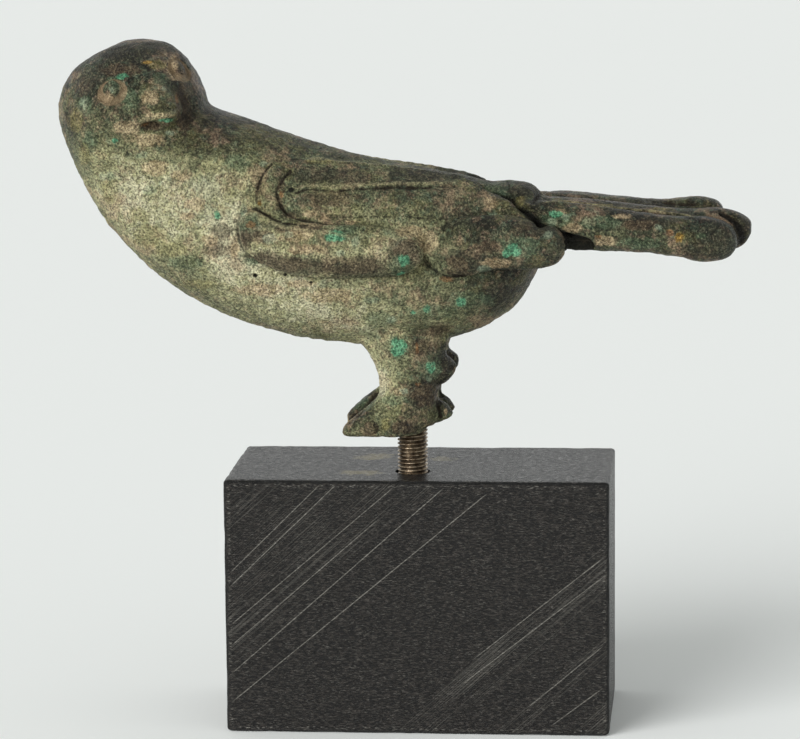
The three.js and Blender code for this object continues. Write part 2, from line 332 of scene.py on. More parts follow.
HEAD_PLACE = np.array([-35.95, 0.0, 42.65])
HEAD_RADII, HEAD_TAPER = (9.7, 9.4, 8.6), 0.07
NECK_PLACE, NECK_RADII = np.array([-37.5, -0.8, 39.0]), (7.2, 8.3, 6.0)
HEAD_TURN = np.array(
    Matrix.Rotation(math.radians(31), 3, "Z")
    @ Matrix.Rotation(math.radians(-6), 3, "X")
    @ Matrix.Rotation(math.radians(-14), 3, "Y")
)
TORSO = [
    (-27.5, 44.0, -44.8, 43.5, 6.8),
    (-25.0, 42.3, -45.0, 39.5, 8.0),
    (-20.9, 40.9, -42.6, 32.8, 9.0),
    (-15.5, 39.0, -38.0, 25.7, 9.9),
    (-9.5, 37.1, -30.7, 19.1, 10.5),
    (-3.5, 35.6, -21.0, 14.4, 10.6),
    (2.5, 34.5, -10.5, 12.2, 10.2),
    (8.0, 33.4, 1.4, 11.9, 9.0),
    (12.0, 32.4, 9.3, 14.2, 7.6),
    (15.0, 31.2, 14.3, 18.5, 6.2),
    (17.4, 29.6, 17.4, 23.4, 4.6),
]
SADDLE = [
    (9.0, 32.6, 9.0, 28.6, 3.2),
    (12.6, 33.0, 12.6, 28.6, 3.6),
    (15.6, 32.6, 15.6, 28.6, 3.6),
    (17.1, 31.4, 17.1, 28.8, 2.6),
]
TAIL_ROOT = [
    (8.0, 32.0, 9.0, 25.0, 5.0),
    (17.0, 30.2, 17.0, 24.9, 5.2),
    (26.0, 29.2, 26.0, 25.0, 5.2),
    (34.0, 28.4, 34.0, 24.9, 4.6),
]
FEATHER = [
    (9.0, 31.0, 9.0, 25.6, 1.9),
    (17.0, 30.9, 17.0, 24.9, 2.4),
    (23.5, 30.3, 23.5, 24.6, 2.5),
    (30.0, 29.4, 30.0, 24.3, 2.5),
    (34.5, 28.9, 34.5, 23.8, 2.6),
    (38.2, 28.9, 37.4, 23.1, 2.6),
    (41.0, 28.0, 41.0, 23.7, 2.1),
    (42.0, 26.9, 42.1, 25.1, 1.2),
]
# Side, and how much further and higher than the table's the feather's far end is; the lift grows
# with this power of the share along the feather
FEATHERS = [(-4.3, 0.0, 0.0), (0.1, 1.8, 1.0), (4.4, -1.8, 2.4)]
FEATHER_SWEEP = 1.2
WING_BAR = [
    (-20.9, 29.2, -20.9, 26.0, 0.8),
    (-19.2, 30.3, -19.4, 24.0, 1.5),
    (-14.0, 29.9, -14.5, 22.2, 2.0),
    (-7.5, 28.7, -7.8, 21.9, 2.1),
    (-1.8, 27.4, -2.4, 22.1, 1.8),
    (1.2, 26.3, 0.9, 23.1, 1.3),
    (2.2, 25.4, 2.1, 24.2, 0.7),
]
WING_TIP = [
    (3.4, 27.6, 3.4, 22.4, 0.8),
    (8.4, 28.5, 8.4, 22.2, 1.4),
    (13.6, 28.8, 13.6, 22.8, 1.9),
    (17.2, 27.8, 17.2, 23.4, 1.8),
    (19.6, 26.7, 19.4, 24.3, 1.3),
    (20.8, 26.0, 20.7, 25.2, 0.7),
]
LEG = [
    (5.6, 14.5, -8.4, 13.8, 3.0),
    (4.7, 11.4, -5.7, 11.4, 3.4),
    (4.0, 8.2, -4.3, 8.6, 3.4),
    (3.6, 5.4, -4.0, 6.2, 3.4),
    (3.4, 2.8, -4.6, 3.2, 3.6),
    (1.4, 0.4, -5.2, 0.2, 3.4),
]
FRONT_TOE = [
    (-1.5, 0.2, -3.6, 5.6, 2.3),
    (-5.0, 0.0, -6.2, 3.6, 2.0),
    (-7.4, 0.0, -8.0, 2.1, 1.6),
    (-8.7, 0.0, -9.0, 0.9, 0.9),
]
# How much higher the far foot's front toe stands
FAR_TOE_LIFT = 0.7
REAR_TOE = [
    (2.2, 5.2, 0.5, 0.6, 2.0),
    (4.4, 4.4, 3.2, 1.5, 1.5),
    (5.6, 3.0, 5.2, 2.3, 0.8),
]
HEEL = [
    (2.4, 11.0, 2.4, 6.9, 2.2),
    (4.7, 10.6, 4.4, 6.9, 1.8),
    (6.0, 9.6, 5.9, 8.4, 0.9),
]
WING_BAR_SIDE, WING_TIP_SIDE, LEG_SIDE, TOE_SIDE, REAR_TOE_SIDE = 9.6, 7.9, 2.9, 3.6, 2.2
# The beak's levels: height in the head's frame, half width, and how far it stands out of the head
BEAK = [
    (5.2, 1.2, 0.0), (2.8, 2.2, 0.7), (0.8, 2.9, 1.5), (-0.9, 3.2, 1.9), (-2.2, 2.9, 1.5),
    (-3.2, 2.0, 0.5),
]
# How deep in the head the beak's own axis lies, and how far its back reaches further in
BEAK_SUNK, BEAK_BACK = 2.0, 0.5


def beak_form(points=32, rings=24):
    """The beak: at each level an ellipse that reaches back into the head and out by the level's
    reach, all levels joined by smooth curves."""
    along = np.linspace(0.0, 1.0, rings)
    heights, halves = smooth_curve([row[:2] for row in BEAK], along).T
    reaches = smooth_curve([(row[0], row[2]) for row in BEAK], along)[:, 1]
    rise = heights / HEAD_RADII[2]
    surface = -HEAD_RADII[1] * (1 - HEAD_TAPER * rise) * np.sqrt(1 - rise**2)
    turn = np.linspace(0.0, 2 * math.pi, points, endpoint=False)
    reach = np.where(np.cos(turn) > 0, reaches[:, None] + BEAK_SUNK, BEAK_BACK)
    skin, faces = capped(np.stack([
        halves[:, None] * np.sin(turn),
        surface[:, None] + BEAK_SUNK - reach * np.cos(turn),
        np.repeat(heights[:, None], points, axis=1),
    ], axis=-1))
    return skin @ HEAD_TURN.T + HEAD_PLACE, faces


def bird_forms():
    """Every form of the bird, in its own frame."""
    forms = [
        form(TORSO, rings=90, points=96),
        ovoid(HEAD_PLACE, HEAD_RADII, HEAD_TURN, HEAD_TAPER),
        ovoid(NECK_PLACE, NECK_RADII),
        beak_form(),
        form(SADDLE),
        form(TAIL_ROOT, square=2.6),
        form(LEG),
    ]
    for side, reach, lift in FEATHERS:
        share = np.linspace(0.0, 1.0, len(FEATHER))[:, None]
        rise = share**FEATHER_SWEEP * lift
        drawn = np.array(FEATHER) + np.hstack([share * reach, rise, share * reach, rise, 0 * share])
        forms.append(form(drawn, side=side, square=2.5))
    for side in (-1, 1):
        toe_lift = np.array([0.0, 0.0, 0.0, FAR_TOE_LIFT * (side > 0), 0.0])
        forms += [
            form(WING_BAR, side=side * WING_BAR_SIDE),
            form(WING_TIP, side=side * WING_TIP_SIDE),
            form(LEG, side=side * LEG_SIDE),
            form(np.array(FRONT_TOE) + toe_lift, side=side * TOE_SIDE),
            form(REAR_TOE, side=side * REAR_TOE_SIDE),
            form(HEEL, side=side * LEG_SIDE),
        ]
    return forms


# The carving, in pixels of the picture. The far side mirrors the wing and the tail.
OUTER_ARC = [(274, 163), (267, 170), (261, 179), (258, 189), (256.5, 197), (258, 205)]
WING_FOOT = [(253, 207), (259, 211), (266, 215.5), (277, 222), (300, 227), (330, 231), (368, 239)]
INNER_ARC = [
    (293, 170), (287.5, 174.5), (283, 181), (278, 188), (277, 195), (278.5, 202), (283, 209),
    (288, 215), (296, 219.5), (311, 222), (332, 227.5), (350, 233),
]
MIDDLE_LINE = [
    (291, 188), (296, 193), (305, 190.5), (336, 192), (374, 190), (421, 190.5), (470, 190),
]
LOWER_LINE = [(300, 220), (350, 217.5), (400, 218), (440, 220.5), (490, 221), (534, 226)]
UPPER_LINE = [(300, 163), (317, 159.5), (333, 162), (355, 164), (374, 166), (410, 171), (440, 176)]
REAR_CRACK = [(460, 179), (470, 183), (478, 186.5), (485, 190)]
REAR_GAP = [
    (485, 190), (496, 194.5), (505, 198), (514, 201.5), (521, 208.5), (529, 215), (535, 221),
    (539, 227),
]
TIP_GAP = [(534, 224), (544, 227.5), (556, 231), (570, 238)]
WING_OUTLINE = [
    (300, 161), *OUTER_ARC, (266, 215), (277, 222), (330, 231), (375, 234), (400, 236), (416, 243),
    (424, 255), (432, 266), (446, 274), (458, 274), (495, 266), (530, 264), (552, 260), (565, 253),
    (569, 244), (563, 235), (539, 226), (529, 215), (521, 208.5), (505, 198), (485, 190),
    (460, 179), (440, 176), (410, 171), (374, 166), (333, 162),
]
LOBE_UNDERSIDE = [(246, 250), (262, 262), (292, 273), (342, 276.5), (392, 274), (410, 269.5)]
LOBE_FOOT = [(240, 228), (240, 238), *LOBE_UNDERSIDE, (420, 262), (423, 254)]
FRONT_LOBE = [
    (240, 236), (240, 222), (245, 213), (255, 211), (266, 216), (280, 221.5), (317, 226),
    (355, 229), (390, 233), (408, 238), (419, 246), (423, 255), (419, 263),
    *reversed(LOBE_UNDERSIDE),
]
REAR_LOBE_FOOT = [(444, 262), (449, 272), (460, 276), (478, 272.5), (495, 267), (530, 264.5)]
REAR_LOBE = [
    (452, 222), (443, 240), (440, 260), (447, 274), (458, 275), (495, 267), (530, 265), (552, 261),
    (566, 254), (570, 244), (563, 234), (534, 225), (490, 220.5),
]
SADDLE_FRONT = [(507.5, 181), (509.5, 185), (509, 190), (505, 193)]
SADDLE_REAR = [(543, 191), (540, 195), (535, 200), (530, 205)]
TAIL_LINE = [
    (533, 203), (568, 202.5), (592, 205.5), (608, 207.6), (654, 212), (684, 215.5), (698, 218),
]
TAIL_SEAM = [(640, 199), (650, 201), (672, 203), (700, 204.5), (722, 206)]
TAIL_NOTCH = [(698.5, 219), (700.5, 223)]
TAIL_HOLLOW = [(564, 234), (580, 236.5), (589, 240), (593, 245), (595, 256), (566, 256)]
END_GAP = [(717, 212), (727, 216), (736, 223), (742, 234), (744, 248)]
TOE_TIP, TOE_RADIUS = (371, 428), 6.5
TOE_RING = [
    (TOE_TIP[0] + TOE_RADIUS * math.cos(turn), TOE_TIP[1] + TOE_RADIUS * math.sin(turn))
    for turn in np.linspace(0.0, 2 * math.pi, 13)
]
FAR_TOE_GAP = [(378, 393), (368, 403), (357, 414), (348, 422)]
REAR_TOE_GAP = [(437, 398), (438.5, 404), (440, 411), (441, 418)]
HEEL_NOTCH = [(444, 369), (451, 369), (460, 368.5)]
LOWER_BEAK = [(136, 122), (148, 118.5), (162, 115), (178, 112)]
BEAK_EDGE = [(136, 113), (148, 111), (160, 108), (174, 104)]
CHEEK_GROOVE = [(168, 74), (178, 88), (185, 104), (186, 120), (180, 134)]
NECK_CREASE = [(212, 104), (206, 114), (201, 128), (193, 141), (186, 149)]
# Hollows and lumps: centre across and down, half width and half height in pixels, depth in mm.
# The pits are full of dirt.
PITS = [
    (255, 276, 2.4, 2.2, 0.5), (285, 275, 1.8, 1.5, 0.4), (311, 283, 1.7, 1.5, 0.4),
    (291, 190, 3.0, 2.5, 0.2),
]
HOLLOWS = [
    (427, 252, 8.0, 13.0, 0.5), (441, 394, 5.0, 4.0, 0.4), (400, 232, 16.0, 5.0, 0.2),
    (151, 127, 10.0, 4.5, 0.9), (190, 100, 8.0, 18.0, 0.3), (440, 345, 8.0, 6.0, 0.3),
    (428, 332, 20.0, 4.5, 0.3), (383, 330, 8.0, 4.0, 0.2),
]
BUMPS = [
    (*TOE_TIP, 6.0, 6.0, 0.6), (402, 427, 11.0, 6.5, 0.4), (445, 412, 3.0, 5.0, 0.3),
    (158, 62, 9.0, 4.5, 0.35), (168, 105, 8.0, 2.6, 0.3), (428, 424, 7.0, 5.0, 0.25),
]
# Distance over half size is raised to this power, so that their middles are nearly flat
DIMPLE_POWER = 3

# Where the bird's parts begin and end in its own frame, in millimetres
WINGS_END, WINGS_FADE = 21.0, 2.5
TAIL_START, HEAD_END, HEAD_FLOOR = 17.0, -20.0, 34.0

# The wing's plate, in millimetres: its lift goes from the first to the second over this stretch
WING_LIFT, WING_REAR_LIFT, WING_EDGE = 0.3, 0.75, 0.5
WING_RISE_START, WING_RISE_LENGTH = -12.0, 22.0
# The wing's two lobes: outline, lift, and width of the rounded edge, which starts at a small rim
LOBES = [(FRONT_LOBE, 1.3, 2.1), (REAR_LOBE, 0.55, 2.4)]
LOBE_RIM = 0.05
TAIL_HOLLOW_DEPTH, TAIL_HOLLOW_EDGE = 0.9, 0.4
# A line as deep as this is fully darkened, by grime in a cut line and by painted shade in a clean one,
# and a ridge fades over this share of it at both ends
FULL_DIRT_DEPTH, RIDGE_FADE = 0.4, 0.1
# What makes the cut lines ragged: height, size and seed of lumps
LINE_RAGS = [(0.1, 0.7, 11), (0.08, 1.7, 12)]
# How open the lines are: the mean, how much lumps of this size and seed vary it, and its limits
LINE_OPEN, LINE_VARIES, LINE_LUMPS, LINE_LIMITS = 0.8, 0.7, (0.9, 13), (0.35, 1.0)

EYE_SIDE, EYE_UP = math.radians(35), math.radians(22.5)
EYE_HALF_WIDTH, EYE_HALF_HEIGHT, EYE_SUNK, EYE_RIM = 2.2, 1.9, 0.3, 0.2
PUPIL_RADIUS, PUPIL_UP, PUPIL_OUT, PUPIL_RIM = 1.2, 0.45, 0.5, 0.9
# An eye reaches this far round its middle, and this far under the head's plain surface
EYE_REACH, EYE_DEPTH = 6.0, 2.5

# Carving starts where a surface faces the viewer by this cosine, and is full this much further on
FACING_START, FACING_SPAN = 0.05, 0.3


def mirrored(vectors, points):
    """Vectors at the far side's points, brought over to the near side."""
    return vectors * np.where(points[:, 1:2] > 0, [[1, -1, 1]], [[1, 1, 1]])


def towards_viewer(normals):
    """1 where a surface faces the viewer, falling to 0 where it turns away."""
    return soft_step((normals @ -FORWARD - FACING_START) / FACING_SPAN)


class Carving:
    """The bird while it is carved: how far each point moves outwards, in millimetres, and from 0 to 1
    how dark it is with dirt and painted shade, how dark with grime and painted shade, how worn and
    painted pale as highlight, and how much of an eye's ring. A view is where the points appear and
    how much they face the viewer, on the near side alone or on both."""

    def __init__(self, points, normals):
        self.points = points
        self.near = seen(points), towards_viewer(normals)
        self.both = seen(mirrored(points, points)), towards_viewer(mirrored(normals, points))
        self.tail = points[:, 0] > TAIL_START
        self.head = (points[:, 0] < HEAD_END) & (points[:, 2] > HEAD_FLOOR)
        self.lift = np.zeros(len(points))
        self.fields = {
            name: np.zeros(len(points)) for name in ("dirt_and_shade", "grime_and_shade", "worn", "eye_ring")
        }
        self.raggedness = lumpy(points, LINE_RAGS)
        # Crust fills the lines here and there
        self.filled = np.clip(LINE_OPEN + LINE_VARIES * lumps(points, *LINE_LUMPS), *LINE_LIMITS)

    def mark(self, name, share):
        """Raises a field to a share where it is less."""
        self.fields[name] = np.maximum(self.fields[name], share)

    def cut(self, view, line, depth, widths, ends=(0.0, 0.0), where=True, clean=False):
        """Sinks a line: depth times e to the minus squared distance over width. The width goes from the
        first to the second along the line, which fades over a share of it at each end. A clean line is
        neither ragged nor filled, and is painted dark as the shade in a gap instead of grimy."""
        distance, along = line_distance(view[0], line)
        if not clean:
            distance = distance + self.raggedness
        share = np.exp(-((distance / np.interp(along, (0, 1), widths)) ** 2)) * view[1] * where
        for from_end, end in zip((along, 1 - along), ends):
            if end:
                share = share * soft_step(from_end / end)
        if not clean:
            share = share * self.filled
        self.lift -= depth * share
        self.mark("dirt_and_shade" if clean else "grime_and_shade", share * min(1.0, depth / FULL_DIRT_DEPTH))

    def raise_ridge(self, view, line, height, width, above=0.0, where=True):
        """Raises a ridge in the same way, some pixels above a line, and marks it worn: the material
        paints it pale, as wear and as painted highlight.
        """
        distance, along = line_distance(view[0] + (0.0, above), line)
        fade = soft_step(along / RIDGE_FADE) * soft_step((1 - along) / RIDGE_FADE)
        share = np.exp(-((distance / width) ** 2)) * fade * view[1] * where
        self.lift += height * share
        self.mark("worn", share)

    def dimple(self, rows, way, dirt=0.0):
        """Sinks hollows or raises lumps: depth times e to the minus distance over half size, raised
        to the dimples' power."""
        for across, down, half_width, half_height, depth in rows:
            half_size = half_width, half_height
            share = nearness(self.near[0], (across, down), half_size, DIMPLE_POWER) * self.near[1]
            self.lift += way * depth * share
            self.mark("dirt_and_shade", dirt * share)


def carve_wings(bird):
    """The folded wings: a thin plate that is thicker towards the tail, on it two lobes whose edges
    are rounded as a quarter of a circle is, and the lines of their feathers."""
    places, facing = bird.both
    rearward = soft_step((bird.points[:, 0] - WING_RISE_START) / WING_RISE_LENGTH)
    relief = covered(places, WING_OUTLINE, WING_EDGE)
    relief *= WING_LIFT + (WING_REAR_LIFT - WING_LIFT) * rearward
    for outline, height, edge in LOBES:
        share = np.clip(depth_inside(places, outline) / edge + LOBE_RIM, 0.0, 1.0)
        relief += height * np.sqrt(1.0 - (1.0 - share) ** 2)
    bird.lift += relief * facing * soft_step((WINGS_END - bird.points[:, 0]) / WINGS_FADE)

    # The lines at the lobes' feet are painted dark as the shade under the lobes.
    bird.cut(bird.both, LOBE_FOOT, depth=0.3, widths=(0.22, 0.3), ends=(0.1, 0.1))
    bird.cut(bird.both, REAR_LOBE_FOOT, depth=0.3, widths=(0.3, 0.25), ends=(0.2, 0.4))
    bird.cut(bird.both, OUTER_ARC, depth=0.5, widths=(0.17, 0.2), ends=(0.1, 0.1))
    bird.cut(bird.both, INNER_ARC, depth=0.12, widths=(0.6, 0.4), ends=(0.1, 0.3))
    bird.cut(bird.both, INNER_ARC, depth=0.5, widths=(0.22, 0.2), ends=(0.05, 0.2))
    bird.cut(bird.both, WING_FOOT, depth=0.5, widths=(0.18, 0.2), ends=(0.05, 0.4))
    bird.cut(bird.both, MIDDLE_LINE, depth=0.32, widths=(0.17, 0.16), ends=(0.02, 0.1))
    bird.cut(bird.both, LOWER_LINE, depth=0.15, widths=(0.2, 0.2), ends=(0.1, 0.0))
    # The crack and the two gaps are clean lines: painted shade in them.
    bird.cut(bird.both, REAR_CRACK, depth=0.4, widths=(0.15, 0.25), ends=(0.4, 0.0), clean=True)
    bird.cut(bird.both, REAR_GAP, depth=1.5, widths=(0.28, 0.55), clean=True)
    bird.cut(bird.both, TIP_GAP, depth=0.9, widths=(0.35, 0.35), clean=True)
    bird.raise_ridge(bird.both, MIDDLE_LINE, height=0.1, width=0.25, above=3.5)
    bird.raise_ridge(bird.both, WING_FOOT, height=0.15, width=0.25, above=-4.0)
    bird.raise_ridge(bird.both, UPPER_LINE, height=0.15, width=0.3)


def carve_tail(bird):
    """The saddle before the tail, the tail's feathers, and the hollow at its root, painted dark as
    shade.
    """
    tail = bird.tail
    bird.cut(bird.near, SADDLE_FRONT, depth=0.35, widths=(0.2, 0.2), ends=(0.0, 0.3))
    bird.cut(bird.near, SADDLE_REAR, depth=0.5, widths=(0.3, 0.3), ends=(0.0, 0.3))
    bird.cut(bird.both, TAIL_NOTCH, depth=0.3, widths=(0.2, 0.2), where=tail)
    bird.cut(bird.near, TAIL_SEAM, depth=0.35, widths=(0.25, 0.2), ends=(0.2, 0.2), where=tail)
    bird.cut(
        bird.near, END_GAP, depth=0.5, widths=(0.25, 0.6), ends=(0.1, 0.0), where=tail, clean=True,
    )
    bird.raise_ridge(bird.both, TAIL_LINE, height=0.25, width=0.2, where=tail)
    places, facing = bird.both
    hollow = covered(places, TAIL_HOLLOW, TAIL_HOLLOW_EDGE) * tail
    bird.lift -= TAIL_HOLLOW_DEPTH * hollow * facing
    # The hollow under the tail's root is painted dark: painted shade.
    bird.mark("dirt_and_shade", hollow)


def carve_feet(bird):
    """The gaps between the toes, the ring round the front one, and the notch over the heel."""
    bird.cut(bird.near, FAR_TOE_GAP, depth=0.4, widths=(0.3, 0.3))
    bird.cut(bird.both, REAR_TOE_GAP, depth=0.5, widths=(0.25, 0.3), ends=(0.3, 0.0))
    bird.cut(bird.near, TOE_RING, depth=0.22, widths=(0.2, 0.2))
    bird.cut(bird.both, HEEL_NOTCH, depth=0.45, widths=(0.3, 0.4), ends=(0.5, 0.0))


def carve_head(bird):
    """The groove behind the cheek, the crease of the neck, and the beak's edge and lower half."""
    head = bird.head
    # The cheek groove is painted dark as the shade on the beak's right side.
    bird.cut(bird.near, CHEEK_GROOVE, depth=0.25, widths=(0.7, 0.9), ends=(0.3, 0.3), where=head)
    bird.cut(bird.near, NECK_CREASE, depth=0.2, widths=(0.7, 0.5), ends=(0.0, 0.5))
    bird.cut(bird.near, BEAK_EDGE, depth=0.15, widths=(0.25, 0.3), ends=(0.4, 0.2), where=head)
    bird.raise_ridge(bird.near, LOWER_BEAK, height=0.4, width=0.42, where=head)


def carve_eyes(bird):
    """The eyes: shallow oval hollows with domed pupils. Each has its own directions: out of the
    head, level across it, and up."""
    local = (bird.points - HEAD_PLACE) @ HEAD_TURN
    for side in (-EYE_SIDE, EYE_SIDE):
        out = np.array([
            math.sin(side) * math.cos(EYE_UP),
            -math.cos(side) * math.cos(EYE_UP),
            math.sin(EYE_UP),
        ])
        offset = local - out * HEAD_RADII * (1 - HEAD_TAPER * out[2])
        close = (offset @ out > -EYE_DEPTH) & (np.linalg.norm(offset, axis=1) < EYE_REACH)
        level = np.cross(out, (0.0, 0.0, 1.0))
        level /= np.linalg.norm(level)
        across, above = offset @ level, offset @ np.cross(level, out)
        ring = np.hypot(across / EYE_HALF_WIDTH, above / EYE_HALF_HEIGHT)
        sunk = soft_step((1.0 - ring) / EYE_RIM)
        pupil = np.hypot(across, above - PUPIL_UP) / PUPIL_RADIUS
        dome = np.sqrt(np.clip(1.0 - pupil**2, 0.0, 1.0))
        bird.lift += (PUPIL_OUT * dome - EYE_SUNK * sunk) * close
        bird.mark("eye_ring", sunk * close * soft_step((pupil - PUPIL_RIM) / EYE_RIM))


def carve(points, normals):
    """How far each point of the bird moves outwards, and the fields of its material."""
    bird = Carving(points, normals)
    carve_wings(bird)
    carve_tail(bird)
    carve_feet(bird)
    carve_head(bird)
    carve_eyes(bird)
    bird.dimple(PITS, way=-1.0, dirt=1.0)
    bird.dimple(HOLLOWS, way=-1.0)
    bird.dimple(BUMPS, way=1.0)
    return bird.lift, bird.fields


# The chin is smoothed more than the rest: its place and its reach each way, in mm
CHIN = np.array([-39.0, -7.0, 37.0])
CHIN_REACH = np.array([8.0, 7.0, 5.5])
# Where the casting swells or sinks away from its plain forms: place, reach and height in mm
SWELLS = [
    ((-30.7, 0.0, 50.7), 3.5, 0.5), ((-39.6, 0.0, 50.1), 3.0, -0.45), ((-45.2, 0.0, 44.8), 3.5, 0.35),
    ((-27.0, 0.0, 46.0), 2.5, -0.45), ((13.0, 0.0, 16.9), 4.0, 0.55),
]

# Where crust covers the bronze: a place in the bird's frame, how far round it, and how much more
# than elsewhere. The far side has the same.
CRUST_AREAS = [
    ((-36.0, 0.0, 50.0), 9.0, -0.2), ((-34.0, 7.0, 46.0), 6.0, -0.15), ((-42.0, 6.0, 42.0), 5.0, -0.18),
    ((-28.0, 6.0, 43.0), 4.5, -0.5), ((-37.0, 8.0, 37.0), 5.0, 0.15), ((-32.0, 9.0, 31.0), 8.0, 0.38),
    ((-19.0, 10.0, 21.0), 8.0, 0.36), ((-9.0, 9.0, 16.0), 7.0, 0.38), ((-24.2, 8.5, 34.5), 4.5, 0.32),
    ((-26.0, 9.5, 25.0), 3.2, -0.3), ((15.0, 6.0, 21.0), 6.0, -0.33), ((-25.0, 4.0, 41.0), 5.0, -0.35),
    ((-3.8, 4.0, 7.0), 2.6, 0.65), ((3.5, 4.0, 8.0), 4.0, -0.42), ((0.0, 4.0, 1.5), 4.0, -0.2),
    ((-9.0, 12.0, 25.0), 7.0, -0.04), ((11.0, 9.0, 26.0), 6.0, -0.15), ((26.0, 4.0, 27.0), 11.0, -0.27),
    ((40.0, 3.0, 26.0), 5.0, -0.75), ((0.8, 11.0, 26.2), 2.4, 0.45), ((-23.5, 10.0, 27.0), 4.5, 0.42),
    ((-6.0, 5.0, 33.0), 12.0, 0.06), ((-39.0, 6.0, 29.0), 6.0, 0.22), ((-4.0, 9.0, 30.0), 8.0, 0.15),
    ((-3.0, 4.0, 11.0), 4.0, 0.12),
]
CRUST_EVERYWHERE, CRUST_ON_TOP = 0.5, -0.28
# The top is bare in full where the upward part of the surface's direction times this passes 1
TOP_STEEPNESS = 1.3
# What makes the cover uneven: height, size and seed of lumps
CRUST_LUMPS = [(0.12, 5.0, 21), (0.08, 2.0, 22)]

